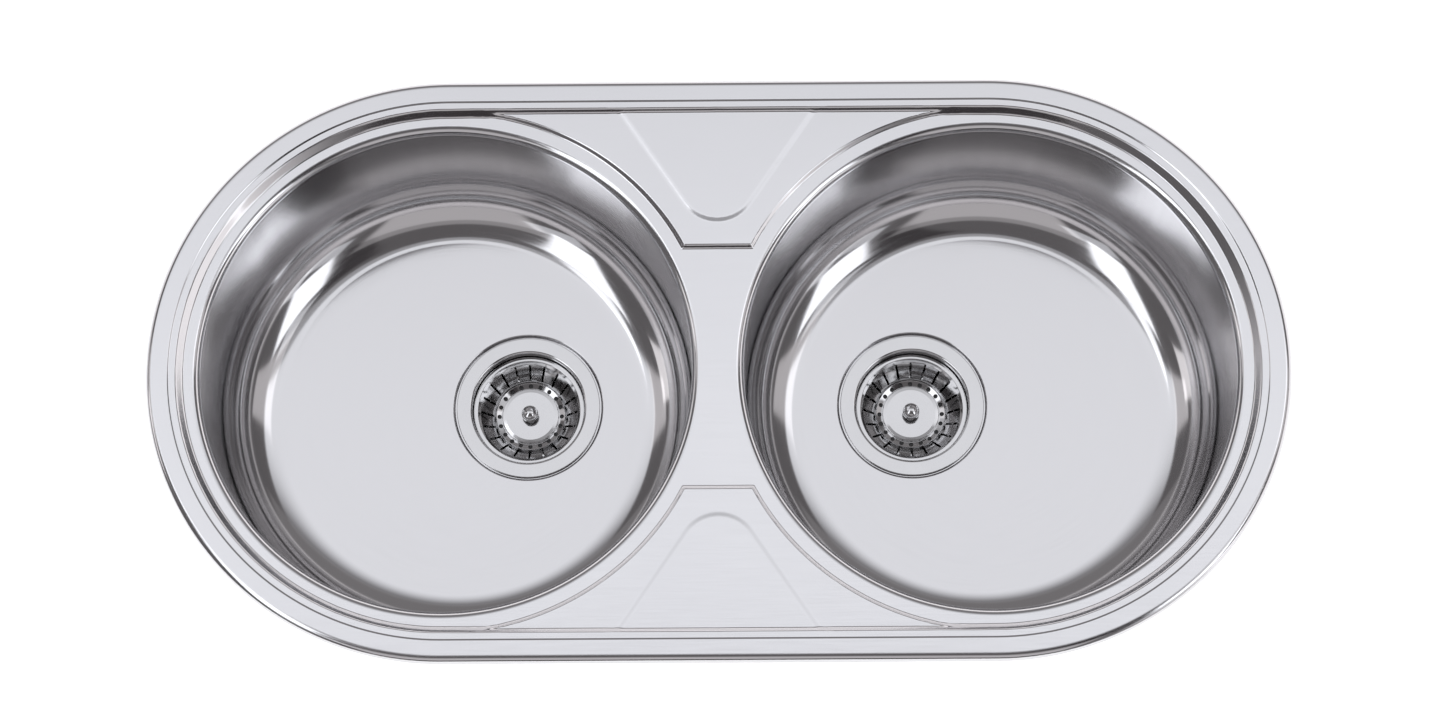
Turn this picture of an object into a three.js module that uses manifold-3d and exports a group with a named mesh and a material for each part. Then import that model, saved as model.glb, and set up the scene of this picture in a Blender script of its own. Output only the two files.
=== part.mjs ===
// Inset double bowl kitchen sink in millimetres, +Z up, +Y towards the wall, left bowl on -X.
// The origin is the middle of the worktop cut-out, level with the worktop's surface.
// A pressed steel deck carries two deep-drawn round bowls. Each bowl has a basket strainer waste,
// and eight brackets under the deck carry the screws and claws that hold the sink down.

import * as THREE from 'three';
import { mergeVertices } from 'three/addons/utils/BufferGeometryUtils.js';
import Module from 'manifold-3d';

const wasm = await Module();
wasm.setup();

// Sheet steel of the deck and bowls, and the steps that a full circle is drawn with.
const SHEET = 0.8;
const BOWL_STEPS = 52;
const WASTE_STEPS = 24;
const FITTING_STEPS = 12;

// Bowls and the bridge between them. Radii are inside radii.
const BOWL_RADIUS = 181;
const BOWL_DEPTH = 150;
const BOWL_DRAFT = 2;
const BOWL_FILLET = 40;
const BRIDGE_WIDTH = 26;
const COLLAR_HEIGHT = 2;

// Deck, from the mouth of a bowl outwards to the edge.
const MOUTH_ROUND = 6;
const LAND_WIDTH = 6;
const SLOPE_RUN = 4.8;
const INNER_FLAT = 5;
const CREASE_RUN = 1;
const OUTER_FLAT = 11.2;
const RIM_ROUND = 5;

// Deck heights, from the worktop upwards.
const EDGE_GAP = 0.4;
const LAND_LIFT = 0.3;
const FIELD_RISE = 2.5;
const WEDGE_RISE = 0.4;
const RIM_RISE = 6;
const CREASE_DEPTH = 0.5;

// Raised fields at the front and back of the bridge, with an embossed wedge on each.
const STEP_FROM_MIDDLE = 90;
const STEP_RUN = 2.2;
const WELL_CLEARANCE = 2.9;
const WEDGE_FROM_STEP = 19;
const WEDGE_ROUND = 31;
const WEDGE_SLANT_DEG = 34;
const WEDGE_RUN = 5;

// Foam strip under the rim, and the sound deadening pads under the floors.
const SEAL_MARGIN = 1;
const SEAL_WIDTH = 6.5;
const PAD_WIDTH = 90;
const PAD_LENGTH = 140;
const PAD_CORNER = 15;
const PAD_THICKNESS = 2.5;
const PAD_FROM_CENTRE = 62;

// Waste: where it stands in the bowl, and the recess that its flange lies in.
const WASTE_FROM_CENTRE = 51.5;
const WASTE_BACK = 7;
const RECESS_DEPTH = 3;
const RECESS_RUN = 0.7;
const RECESS_MARGIN = 1.5;
const HOLE_CLEARANCE = 1;

// Flange and cup, pressed from one sheet.
const WASTE_SHEET = 1;
const FLANGE_RADIUS = 55.5;
const CUP_RADIUS = 43.5;
const CUP_ROUND = 2;
const CUP_DEPTH = 34.5;
const CUP_FOOT_RADIUS = 36;
const CUP_FILLET = 3;
const LEDGE_DEPTH = 11;
const LEDGE_WIDTH = 3;
const OUTLET_COUNT = 6;
const OUTLET_INNER = 13;
const OUTLET_OUTER = 23;
const OUTLET_SPAN_DEG = 42;

// Gaskets above and below the floor, and the moulded body under it.
const UPPER_GASKET = 1.5;
const LOWER_GASKET = 2;
const GASKET_MARGIN = 1.5;
const BODY_FLANGE = 4;
const BODY_WALL = 3;
const BODY_CLEARANCE = 2;
const SPIDER_HEIGHT = 12;
const SPIDER_RIB = 4;
const BOSS_RADIUS = 10;
const SPIGOT_BORE = 20;
const SPIGOT_LENGTH = 24;

// Hollow centre screw that clamps the cup to the body.
const CENTRE_SCREW_RADIUS = 5.5;
const CENTRE_SCREW_LENGTH = 20;
const CENTRE_HEAD_RADIUS = 8;
const CENTRE_HEAD_HEIGHT = 1.8;
const SOCKET_RADIUS = 3.6;
const SOCKET_DEPTH = 7;

// Lift-out basket.
const BASKET_SHEET = 0.7;
const BASKET_CLEARANCE = 0.9;
const BASKET_LIP = 2.8;
const BASKET_FOOT_RADIUS = 26;
const DISC_RADIUS = 22;
const DISC_RISE = 2.7;
const HOLE_COUNT = 20;
const HOLE_RADIUS = 1.7;
const SLOT_WIDTH = 1.8;
const SLOT_MARGIN = 2.2;

// Plug under the basket, its stem and knob.
const PLUG_THICKNESS = 3.7;
const PLUG_RADIUS = 26.5;
const PLUG_ROOF = 1.1;
const PLUG_HOLLOW_RADIUS = 11;
const STEM_RADIUS = 2.2;
const STEM_BEAD = 3.2;
const STEM_BEAD_HEIGHT = 0.6;
const STEM_TIP = 4.5;
const STEM_IN_KNOB = 7;
const WASHER_RADIUS = 7.5;
const WASHER_THICKNESS = 0.8;
const KNOB_RADIUS = 6.5;
const KNOB_NECK = 4;
const KNOB_HEIGHT = 12;

// Fixing clips under the rim.
const CLIP_ANGLES_DEG = [-75, -25, 25, 75];
const CLIP_FROM_SLOPE = 8.5;
const BRACKET_STEEL = 2;
const BRACKET_WIDTH = 22;
const BRACKET_HEIGHT = 24;
const BRACKET_MARGIN = 0.5;
const BRACKET_TAIL = 6.5;
const NUT_RADIUS = 5.5;
const NUT_HEIGHT = 5;
const CLIP_SCREW_RADIUS = 3;
const CLIP_SCREW_LENGTH = 31;
const CLIP_HEAD_RADIUS = 5.8;
const CLIP_HEAD_HEIGHT = 4;
const CLAW_DROP = 47;
const CLAW_THICKNESS = 3;
const CLAW_WIDTH = 14;
const CLAW_REACH = 32;
const CLAW_TOOTH = 8;
const CLAW_TOOTH_HEIGHT = 3;

// Gap between pieces that turn, slide or seat on each other.
const RUNNING_GAP = 0.3;
// Length over which two lengths of one pressing run into each other before they are joined.
const LAP = 1.5;
// Distance by which a raised field ends short of the slope's top, inside the slope.
const FIELD_LAP = 0.4;
// Length by which a cutting shape passes the face that it cuts.
const OVERCUT = 2;

// Radii across the deck.
const mouthRadius = BOWL_RADIUS + MOUTH_ROUND;
const slopeFoot = mouthRadius + LAND_WIDTH;
const slopeTop = slopeFoot + SLOPE_RUN;
const creaseInner = slopeTop + INNER_FLAT;
const creaseOuter = creaseInner + CREASE_RUN;
const flatEnd = creaseOuter + OUTER_FLAT;
const rimRadius = flatEnd + RIM_ROUND;
const bowlX = mouthRadius + BRIDGE_WIDTH / 2;

// Levels above the worktop.
const landTop = EDGE_GAP + LAND_LIFT + SHEET;
const fieldTop = landTop + FIELD_RISE;
const wedgeTop = fieldTop + WEDGE_RISE;
const rimTop = landTop + RIM_RISE;
const innerFlatTop = rimTop - CREASE_DEPTH;
const deckUnderside = landTop - SHEET;
const collarFoot = landTop - MOUTH_ROUND - COLLAR_HEIGHT;
const floorTop = landTop - BOWL_DEPTH;
const recessTop = floorTop - RECESS_DEPTH;

// Radii and levels of the waste, measured from the top of the recess.
const holeRadius = CUP_RADIUS + WASTE_SHEET + HOLE_CLEARANCE;
const recessFoot = FLANGE_RADIUS + RECESS_MARGIN;
const flangeTop = UPPER_GASKET + WASTE_SHEET;
const cupFloor = flangeTop - CUP_DEPTH;
const ledgeTop = flangeTop - LEDGE_DEPTH;
const ledgeRadius = CUP_RADIUS - LEDGE_WIDTH;
const bodyTop = -SHEET - LOWER_GASKET;
const spiderTop = cupFloor - WASTE_SHEET;
const spiderFoot = spiderTop - SPIDER_HEIGHT;
const spigotFoot = spiderFoot - SPIGOT_LENGTH;
const screwHoleRadius = CENTRE_SCREW_RADIUS + RUNNING_GAP;
const headTop = cupFloor + CENTRE_HEAD_HEIGHT;
const stemHole = STEM_RADIUS + RUNNING_GAP;

// Levels of the basket and its plug when the plug lies on the cup's floor.
const plugFoot = cupFloor + RUNNING_GAP;
const plugTop = plugFoot + PLUG_THICKNESS;
const grooveTop = plugTop + BASKET_SHEET;
const discTop = grooveTop + DISC_RISE;
const discUnderside = discTop - BASKET_SHEET;
const basketTop = ledgeTop + RUNNING_GAP + BASKET_SHEET;
const basketRadius = CUP_RADIUS - BASKET_CLEARANCE;
const washerTop = plugTop - PLUG_ROOF;
const washerFoot = washerTop - WASHER_THICKNESS;

const degrees = (value) => THREE.MathUtils.degToRad(value);

function material(colour, roughness, metalness) {
  return new THREE.MeshStandardMaterial({ color: colour, roughness, metalness });
}

const satinSteel = () => material(0xc9cacd, 0.32, 1);
const polishedSteel = () => material(0xdcdde0, 0.18, 1);
const zincSteel = () => material(0xb4b6b8, 0.45, 1);
const greyPlastic = () => material(0x9a9c9e, 0.55, 0);
const blackRubber = () => material(0x1d1d1f, 0.85, 0);
const greyFoam = () => material(0x4a4b4d, 0.95, 0);
const bitumen = () => material(0x2c2b2a, 0.9, 0);

// ---- From geometry to solid and back -------------------------------------------------------

function solidOf(geometry) {
  const bare = geometry.clone();
  bare.deleteAttribute('normal');
  bare.deleteAttribute('uv');
  const merged = mergeVertices(bare, 1e-4);
  return new wasm.Manifold(new wasm.Mesh({
    numProp: 3,
    vertProperties: merged.attributes.position.array,
    triVerts: merged.index.array,
  }));
}

function geometryOf(solid) {
  const mesh = solid.getMesh();
  const geometry = new THREE.BufferGeometry();
  geometry.setAttribute('position', new THREE.BufferAttribute(mesh.vertProperties, 3));
  geometry.setIndex(new THREE.BufferAttribute(mesh.triVerts, 1));
  geometry.computeVertexNormals();
  return geometry;
}

// ---- Outlines, as lists of [radius, height] ------------------------------------------------

// Points on a quarter or part circle about a centre, both ends included.
function arc(centreRadius, centreHeight, radius, fromDeg, toDeg, steps) {
  const points = [];
  for (let step = 0; step <= steps; step += 1) {
    const angle = degrees(fromDeg + ((toDeg - fromDeg) * step) / steps);
    points.push([centreRadius + radius * Math.cos(angle), centreHeight + radius * Math.sin(angle)]);
  }
  return points;
}

// Left-hand normal of the stretch from one point to the next.
function leftNormal(from, to) {
  const length = Math.hypot(to[0] - from[0], to[1] - from[1]);
  return [-(to[1] - from[1]) / length, (to[0] - from[0]) / length];
}

// Closed section of a sheet, given the points of one face with the metal on their left.
function sheetSection(face, thickness) {
  const back = face.map((point, index) => {
    const before = leftNormal(face[Math.max(index - 1, 0)], face[Math.max(index, 1)]);
    const last = face.length - 1;
    const after = leftNormal(face[Math.min(index, last - 1)], face[Math.min(index + 1, last)]);
    const spread = 1 + before[0] * after[0] + before[1] * after[1];
    return [
      point[0] + (thickness * (before[0] + after[0])) / spread,
      point[1] + (thickness * (before[1] + after[1])) / spread,
    ];
  });
  return [...face, ...back.reverse()];
}

// ---- Solids from outlines ------------------------------------------------------------------

// Turns a closed outline about the Z axis.
function turned(section, steps) {
  const points = [...section, section[0]].map(([radius, height]) => new THREE.Vector2(radius, height));
  const geometry = new THREE.LatheGeometry(points, steps);
  geometry.rotateX(Math.PI / 2);
  return solidOf(geometry);
}

// Sweeps a closed outline round the two end arcs and the straights of the sink's edge.
function sweptRound(section) {
  const arcSteps = BOWL_STEPS / 2;
  const positions = [];
  for (const side of [1, -1]) {
    for (let step = 0; step <= arcSteps; step += 1) {
      const angle = (side < 0 ? Math.PI : 0) + (step / arcSteps - 0.5) * Math.PI;
      for (const [radius, height] of section) {
        positions.push(side * bowlX + radius * Math.cos(angle), radius * Math.sin(angle), height);
      }
    }
  }
  const stations = 2 * (arcSteps + 1);
  const indices = [];
  for (let station = 0; station < stations; station += 1) {
    for (let point = 0; point < section.length; point += 1) {
      const nextPoint = (point + 1) % section.length;
      const here = station * section.length;
      const there = ((station + 1) % stations) * section.length;
      indices.push(here + point, there + point, here + nextPoint);
      indices.push(there + point, there + nextPoint, here + nextPoint);
    }
  }
  const geometry = new THREE.BufferGeometry();
  geometry.setAttribute('position', new THREE.Float32BufferAttribute(positions, 3));
  geometry.setIndex(indices);
  return solidOf(geometry);
}

// Joins a foot outline to a top outline with as many points, both lists of [x, y].
function tapered(foot, top, footHeight, topHeight) {
  const count = foot.length;
  const caps = THREE.ShapeUtils.triangulateShape(foot.map(([x, y]) => new THREE.Vector2(x, y)), []);
  const positions = [];
  foot.forEach(([x, y]) => positions.push(x, y, footHeight));
  top.forEach(([x, y]) => positions.push(x, y, topHeight));
  const indices = [];
  for (const [a, b, c] of caps) {
    indices.push(a, c, b);
    indices.push(a + count, b + count, c + count);
  }
  for (let point = 0; point < count; point += 1) {
    const next = (point + 1) % count;
    indices.push(point, next, next + count);
    indices.push(point, next + count, point + count);
  }
  const geometry = new THREE.BufferGeometry();
  geometry.setAttribute('position', new THREE.Float32BufferAttribute(positions, 3));
  geometry.setIndex(indices);
  return solidOf(geometry);
}

function rod(radius, footHeight, topHeight, steps) {
  return turned([[0, footHeight], [radius, footHeight], [radius, topHeight], [0, topHeight]], steps);
}

function block(fromX, toX, fromY, toY, fromZ, toZ) {
  const geometry = new THREE.BoxGeometry(toX - fromX, toY - fromY, toZ - fromZ);
  geometry.translate((fromX + toX) / 2, (fromY + toY) / 2, (fromZ + toZ) / 2);
  return solidOf(geometry);
}

// ---- Deck ----------------------------------------------------------------------------------

// How far a fold's lower edge lies behind its upper edge, for a slope of this run and rise.
function foldShift(skin, run, rise) {
  return skin * Math.tan(Math.atan2(rise, run) / 2);
}

// Rim, slope and land as one solid block under the face that lies `skin` below the top face.
function rimBlock(skin, foot) {
  const fold = foldShift(skin, SLOPE_RUN, innerFlatTop - landTop);
  return sweptRound([
    [0, foot],
    [rimRadius - skin, foot],
    ...arc(flatEnd, rimTop - RIM_ROUND, RIM_ROUND - skin, 0, 90, 3),
    [creaseOuter, rimTop - skin],
    [creaseInner, innerFlatTop - skin],
    [slopeTop + fold, innerFlatTop - skin],
    [slopeFoot + fold, landTop - skin],
    [0, landTop - skin],
  ]);
}

// Round well that leaves the land round one bowl below the raised fields.
function landWell(side, skin) {
  const run = SLOPE_RUN / (innerFlatTop - landTop);
  const foot = slopeFoot + WELL_CLEARANCE + foldShift(skin, SLOPE_RUN, innerFlatTop - landTop);
  const rise = fieldTop - landTop + OVERCUT;
  const well = turned([
    [0, landTop - skin],
    [foot, landTop - skin],
    [foot + rise * run, landTop - skin + rise],
    [0, landTop - skin + rise],
  ], BOWL_STEPS);
  return well.translate([side * bowlX, 0, 0]);
}

// Trough that leaves the bridge below the raised fields, with a straight step at each end.
function bridgeTrough(skin) {
  const foot = STEP_FROM_MIDDLE + foldShift(skin, STEP_RUN, FIELD_RISE);
  const rise = fieldTop - landTop + OVERCUT;
  const top = foot + (rise * STEP_RUN) / FIELD_RISE;
  const rectangle = (halfWidth) => [
    [-bowlX, -halfWidth], [bowlX, -halfWidth], [bowlX, halfWidth], [-bowlX, halfWidth],
  ];
  return tapered(rectangle(foot), rectangle(top), landTop - skin, landTop - skin + rise);
}

// Wedge outline at the back: a round foot towards the bridge and slanted sides up to the rim.
function wedgeOutline(inset) {
  const centreY = STEP_FROM_MIDDLE + WEDGE_FROM_STEP + WEDGE_ROUND;
  const radius = WEDGE_ROUND - inset;
  const foot = arc(0, centreY, radius, WEDGE_SLANT_DEG - 180, -WEDGE_SLANT_DEG, 8);
  const [cornerX, cornerY] = foot[foot.length - 1];
  const endY = slopeTop - FIELD_LAP;
  const endX = cornerX + (endY - cornerY) * Math.tan(degrees(WEDGE_SLANT_DEG));
  return [[-endX, endY], ...foot, [endX, endY]];
}

function wedges(skin) {
  const inset = foldShift(skin, WEDGE_RUN, WEDGE_RISE);
  const foot = wedgeOutline(inset);
  const top = wedgeOutline(inset + WEDGE_RUN);
  const root = tapered(foot, foot, landTop - skin, fieldTop - skin);
  const whole = root.add(tapered(foot, top, fieldTop - skin, wedgeTop - skin));
  return whole.add(whole.rotate([0, 0, 180]));
}

// Everything under the face that lies `skin` below the deck's top face, down to `foot`.
function deckBlock(skin, foot) {
  const fieldEdge = slopeTop - FIELD_LAP;
  let fields = sweptRound([
    [0, foot],
    [fieldEdge, foot],
    [fieldEdge, fieldTop - skin],
    [0, fieldTop - skin],
  ]);
  for (const side of [-1, 1]) {
    fields = fields.subtract(landWell(side, skin));
  }
  fields = fields.subtract(bridgeTrough(skin));
  return rimBlock(skin, foot).add(fields).add(wedges(skin));
}

// Rolled edge of one opening with the short collar that the bowl is welded to.
function mouthRoll(side) {
  const face = [
    [mouthRadius + LAP, landTop],
    ...arc(mouthRadius, landTop - MOUTH_ROUND, MOUTH_ROUND, 90, 180, 3),
    [BOWL_RADIUS, collarFoot],
  ];
  return turned(sheetSection(face, SHEET), BOWL_STEPS).translate([side * bowlX, 0, 0]);
}

function deckGeometry() {
  let deck = deckBlock(0, EDGE_GAP).subtract(deckBlock(SHEET, EDGE_GAP - OVERCUT));
  for (const side of [-1, 1]) {
    const opening = rod(mouthRadius, EDGE_GAP - OVERCUT, fieldTop + OVERCUT, BOWL_STEPS);
    deck = deck.subtract(opening.translate([side * bowlX, 0, 0])).add(mouthRoll(side));
  }
  return geometryOf(deck);
}

function rimSealGeometry() {
  const outer = flatEnd - SEAL_MARGIN;
  const inner = outer - SEAL_WIDTH;
  return geometryOf(sweptRound([[inner, 0], [outer, 0], [outer, rimTop - SHEET], [inner, rimTop - SHEET]]));
}

// ---- Bowls ---------------------------------------------------------------------------------

// Bowl with the recess and hole for its waste, which lies towards the bridge.
function bowlGeometry(side) {
  const filletRadius = BOWL_RADIUS - BOWL_DRAFT - BOWL_FILLET;
  const face = [
    [BOWL_RADIUS, collarFoot],
    ...arc(filletRadius, floorTop + BOWL_FILLET, BOWL_FILLET, 0, -90, 4),
    [0, floorTop],
  ];
  const recessEdge = recessFoot + RECESS_RUN;
  const recessFace = [
    [recessEdge + LAP, floorTop],
    [recessEdge, floorTop],
    [recessFoot, recessTop],
    [holeRadius, recessTop],
  ];
  const toWaste = [-side * WASTE_FROM_CENTRE, WASTE_BACK, 0];
  const cut = rod(recessEdge, recessTop - OVERCUT, floorTop + OVERCUT, WASTE_STEPS).translate(toWaste);
  const recess = turned(sheetSection(recessFace, SHEET), WASTE_STEPS).translate(toWaste);
  const bowl = turned(sheetSection(face, SHEET), BOWL_STEPS);
  return geometryOf(bowl.subtract(cut).add(recess));
}

function soundPadGeometry() {
  const halfWidth = PAD_WIDTH / 2 - PAD_CORNER;
  const halfLength = PAD_LENGTH / 2 - PAD_CORNER;
  const outline = [
    ...arc(halfWidth, halfLength, PAD_CORNER, 0, 90, 4),
    ...arc(-halfWidth, halfLength, PAD_CORNER, 90, 180, 4),
    ...arc(-halfWidth, -halfLength, PAD_CORNER, 180, 270, 4),
    ...arc(halfWidth, -halfLength, PAD_CORNER, 270, 360, 4),
  ];
  return geometryOf(tapered(outline, outline, -PAD_THICKNESS, 0));
}

// ---- Waste, with heights measured from the top of the recess -------------------------------

// One outlet of the ring of openings in the cup's floor.
function outletCutter(index) {
  const middle = (360 * index) / OUTLET_COUNT;
  const from = middle - OUTLET_SPAN_DEG / 2;
  const to = middle + OUTLET_SPAN_DEG / 2;
  const outline = [...arc(0, 0, OUTLET_OUTER, from, to, 4), ...arc(0, 0, OUTLET_INNER, to, from, 3)];
  return tapered(outline, outline, spiderTop - OVERCUT, cupFloor + OVERCUT);
}

function flangeCupGeometry() {
  const face = [
    [FLANGE_RADIUS, RUNNING_GAP],
    [FLANGE_RADIUS, flangeTop - WASTE_SHEET],
    [FLANGE_RADIUS - WASTE_SHEET, flangeTop],
    ...arc(CUP_RADIUS + CUP_ROUND, flangeTop - CUP_ROUND, CUP_ROUND, 90, 180, 2),
    [CUP_RADIUS, ledgeTop],
    [ledgeRadius, ledgeTop],
    ...arc(CUP_FOOT_RADIUS - CUP_FILLET, cupFloor + CUP_FILLET, CUP_FILLET, 0, -90, 2),
    [screwHoleRadius, cupFloor],
  ];
  let cup = turned(sheetSection(face, WASTE_SHEET), WASTE_STEPS);
  for (let index = 0; index < OUTLET_COUNT; index += 1) {
    cup = cup.subtract(outletCutter(index));
  }
  return geometryOf(cup);
}

function gasketGeometry(foot, top) {
  const inner = holeRadius + GASKET_MARGIN;
  const outer = FLANGE_RADIUS - WASTE_SHEET - GASKET_MARGIN;
  return geometryOf(turned([[inner, foot], [outer, foot], [outer, top], [inner, top]], WASTE_STEPS));
}

// Moulded body: a funnel round the cup, and a spider with the screw's boss over the outlet.
function wasteBodyGeometry() {
  const boreTop = CUP_RADIUS + WASTE_SHEET + BODY_CLEARANCE;
  const boreFoot = CUP_FOOT_RADIUS + WASTE_SHEET + BODY_CLEARANCE;
  const narrowTop = spiderTop - WASTE_SHEET;
  const flangeFoot = bodyTop - BODY_FLANGE;
  const ledgeLevel = ledgeTop - LEDGE_WIDTH - BODY_CLEARANCE;
  const outside = [
    [0, spiderFoot],
    [SPIGOT_BORE + BODY_WALL, spiderFoot],
    [boreFoot + BODY_WALL, narrowTop],
    [boreTop + BODY_WALL, ledgeLevel],
    [boreTop + BODY_WALL, flangeFoot],
    [recessFoot, flangeFoot],
    [recessFoot, bodyTop],
    [0, bodyTop],
  ];
  const inside = [
    [0, spiderFoot - OVERCUT],
    [SPIGOT_BORE, spiderFoot - OVERCUT],
    [SPIGOT_BORE, spiderFoot],
    [boreFoot, narrowTop],
    [boreTop, ledgeLevel],
    [boreTop, bodyTop + OVERCUT],
    [0, bodyTop + OVERCUT],
  ];
  const shell = turned(outside, WASTE_STEPS);
  let spider = rod(BOSS_RADIUS, spiderFoot, spiderTop, FITTING_STEPS);
  const ribEnd = SPIGOT_BORE + BODY_WALL / 2;
  const ribTop = (spiderFoot + spiderTop) / 2;
  spider = spider.add(block(-ribEnd, ribEnd, -SPIDER_RIB / 2, SPIDER_RIB / 2, spiderFoot, ribTop));
  spider = spider.add(block(-SPIDER_RIB / 2, SPIDER_RIB / 2, -ribEnd, ribEnd, spiderFoot, ribTop));
  const ribReach = turned([
    [0, spiderFoot],
    [SPIGOT_BORE + BODY_WALL / 2, spiderFoot],
    [boreFoot, narrowTop],
    [boreFoot, spiderTop],
    [0, spiderTop],
  ], WASTE_STEPS);
  const hollow = turned(inside, WASTE_STEPS);
  const screwHole = rod(screwHoleRadius, spiderFoot - OVERCUT, spiderTop + OVERCUT, FITTING_STEPS);
  return geometryOf(shell.subtract(hollow).add(spider.intersect(ribReach)).subtract(screwHole));
}

// Outlet spigot, a plain tube that is butt welded to the foot of the moulded body.
function wasteSpigotGeometry() {
  const top = spiderFoot - RUNNING_GAP;
  return geometryOf(turned([
    [SPIGOT_BORE, spigotFoot],
    [SPIGOT_BORE + BODY_WALL, spigotFoot],
    [SPIGOT_BORE + BODY_WALL, top],
    [SPIGOT_BORE, top],
  ], WASTE_STEPS));
}

function centreScrewGeometry() {
  const socketFoot = headTop - SOCKET_DEPTH;
  return geometryOf(turned([
    [0, headTop - CENTRE_SCREW_LENGTH],
    [CENTRE_SCREW_RADIUS, headTop - CENTRE_SCREW_LENGTH],
    [CENTRE_SCREW_RADIUS, cupFloor],
    [CENTRE_HEAD_RADIUS, cupFloor],
    [CENTRE_HEAD_RADIUS, headTop - CENTRE_HEAD_HEIGHT / 2],
    [CENTRE_HEAD_RADIUS - CENTRE_HEAD_HEIGHT / 2, headTop],
    [SOCKET_RADIUS, headTop],
    [SOCKET_RADIUS, socketFoot],
    [0, socketFoot],
  ], FITTING_STEPS));
}

// Basket: a raised disc, a groove with round holes, and a flared wall with slots.
function basketGeometry() {
  const wallTop = basketRadius - BASKET_LIP;
  const grooveInner = DISC_RADIUS + BASKET_SHEET;
  const grooveMiddle = (grooveInner + BASKET_FOOT_RADIUS) / 2;
  const face = [
    [basketRadius, basketTop],
    [wallTop, basketTop],
    [wallTop - BASKET_SHEET, basketTop - BASKET_SHEET],
    [BASKET_FOOT_RADIUS, grooveTop],
    [grooveInner, grooveTop],
    [DISC_RADIUS, discTop],
    [stemHole, discTop],
  ];
  const wallRun = wallTop - BASKET_FOOT_RADIUS;
  const slotFrom = BASKET_FOOT_RADIUS + SLOT_MARGIN;
  const slotTo = BASKET_FOOT_RADIUS + wallRun - SLOT_MARGIN;
  const hole = rod(HOLE_RADIUS, plugTop - OVERCUT, grooveTop + OVERCUT, 6);
  const halfSlot = SLOT_WIDTH / 2;
  const slot = block(slotFrom, slotTo, -halfSlot, halfSlot, plugTop, basketTop + OVERCUT);
  let basket = turned(sheetSection(face, BASKET_SHEET), WASTE_STEPS);
  for (let index = 0; index < HOLE_COUNT; index += 1) {
    const turn = [0, 0, (360 * index) / HOLE_COUNT];
    basket = basket.subtract(hole.translate([grooveMiddle, 0, 0]).rotate(turn)).subtract(slot.rotate(turn));
  }
  return geometryOf(basket);
}

// Rubber plug: a sealing ring, a roof over the screw's head, and a boss up to the basket's disc.
function plugGeometry() {
  const lipRound = PLUG_THICKNESS / 3;
  return geometryOf(turned([
    [PLUG_HOLLOW_RADIUS, plugFoot],
    [PLUG_RADIUS - lipRound, plugFoot],
    [PLUG_RADIUS, plugFoot + lipRound],
    [PLUG_RADIUS, plugTop],
    [DISC_RADIUS - BASKET_SHEET, plugTop],
    [DISC_RADIUS - DISC_RISE, discUnderside],
    [stemHole, discUnderside],
    [stemHole, washerTop],
    [PLUG_HOLLOW_RADIUS, washerTop],
  ], WASTE_STEPS));
}

function washerGeometry() {
  return geometryOf(turned([
    [stemHole, washerFoot],
    [WASHER_RADIUS, washerFoot],
    [WASHER_RADIUS, washerTop],
    [stemHole, washerTop],
  ], FITTING_STEPS));
}

// Stem: a tip that drops into the centre screw's socket, a bead under the washer, and the shaft.
function stemGeometry() {
  const beadFoot = washerFoot - STEM_BEAD_HEIGHT;
  const tipFoot = beadFoot - STEM_TIP;
  return geometryOf(turned([
    [0, tipFoot],
    [STEM_RADIUS / 2, tipFoot],
    [STEM_RADIUS, tipFoot + STEM_RADIUS / 2],
    [STEM_RADIUS, beadFoot],
    [STEM_BEAD, beadFoot],
    [STEM_BEAD, washerFoot],
    [STEM_RADIUS, washerFoot],
    [STEM_RADIUS, discTop + STEM_IN_KNOB],
    [0, discTop + STEM_IN_KNOB],
  ], FITTING_STEPS));
}

function knobGeometry() {
  const headFoot = discTop + KNOB_HEIGHT / 2;
  return geometryOf(turned([
    [stemHole, discTop],
    [KNOB_NECK, discTop],
    [KNOB_NECK, headFoot - KNOB_HEIGHT / 6],
    [KNOB_RADIUS, headFoot],
    ...arc(0, headFoot, KNOB_RADIUS, 15, 90, 4).map(
      ([radius, height]) => [radius, headFoot + ((height - headFoot) * KNOB_HEIGHT) / 2 / KNOB_RADIUS],
    ),
    [0, discTop + STEM_IN_KNOB],
    [stemHole, discTop + STEM_IN_KNOB],
  ], FITTING_STEPS));
}

// ---- Fixing clips, about the screw's axis, with X pointing out from the bowl ---------------

const clipRadius = slopeFoot + CLIP_FROM_SLOPE;
const bracketFoot = deckUnderside - BRACKET_HEIGHT;
const clipHole = CLIP_SCREW_RADIUS + RUNNING_GAP;
const clawFoot = -CLAW_DROP - CLAW_THICKNESS;
const clipHeadTop = clawFoot - RUNNING_GAP;

function bracketGeometry() {
  const back = mouthRadius + BRACKET_MARGIN - clipRadius;
  const weldEnd = slopeFoot - BRACKET_MARGIN - clipRadius;
  const halfWidth = BRACKET_WIDTH / 2;
  const weldTab = block(back, weldEnd, -halfWidth, halfWidth, deckUnderside - BRACKET_STEEL, deckUnderside);
  const web = block(back, back + BRACKET_STEEL, -halfWidth, halfWidth, bracketFoot, deckUnderside);
  const tail = block(back, BRACKET_TAIL, -halfWidth, halfWidth, bracketFoot, bracketFoot + BRACKET_STEEL);
  const nutFoot = bracketFoot + BRACKET_STEEL / 2;
  const nut = rod(NUT_RADIUS, nutFoot, bracketFoot + BRACKET_STEEL + NUT_HEIGHT, FITTING_STEPS);
  const thread = rod(clipHole, bracketFoot - OVERCUT, nutFoot + NUT_HEIGHT + OVERCUT, FITTING_STEPS);
  return geometryOf(weldTab.add(web).add(tail).add(nut).subtract(thread));
}

function clipScrewGeometry() {
  const head = rod(CLIP_HEAD_RADIUS, clipHeadTop - CLIP_HEAD_HEIGHT, clipHeadTop, 6);
  const shankFoot = clipHeadTop - CLIP_HEAD_HEIGHT / 2;
  const shank = rod(CLIP_SCREW_RADIUS, shankFoot, clipHeadTop + CLIP_SCREW_LENGTH, FITTING_STEPS);
  return geometryOf(head.add(shank));
}

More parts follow.
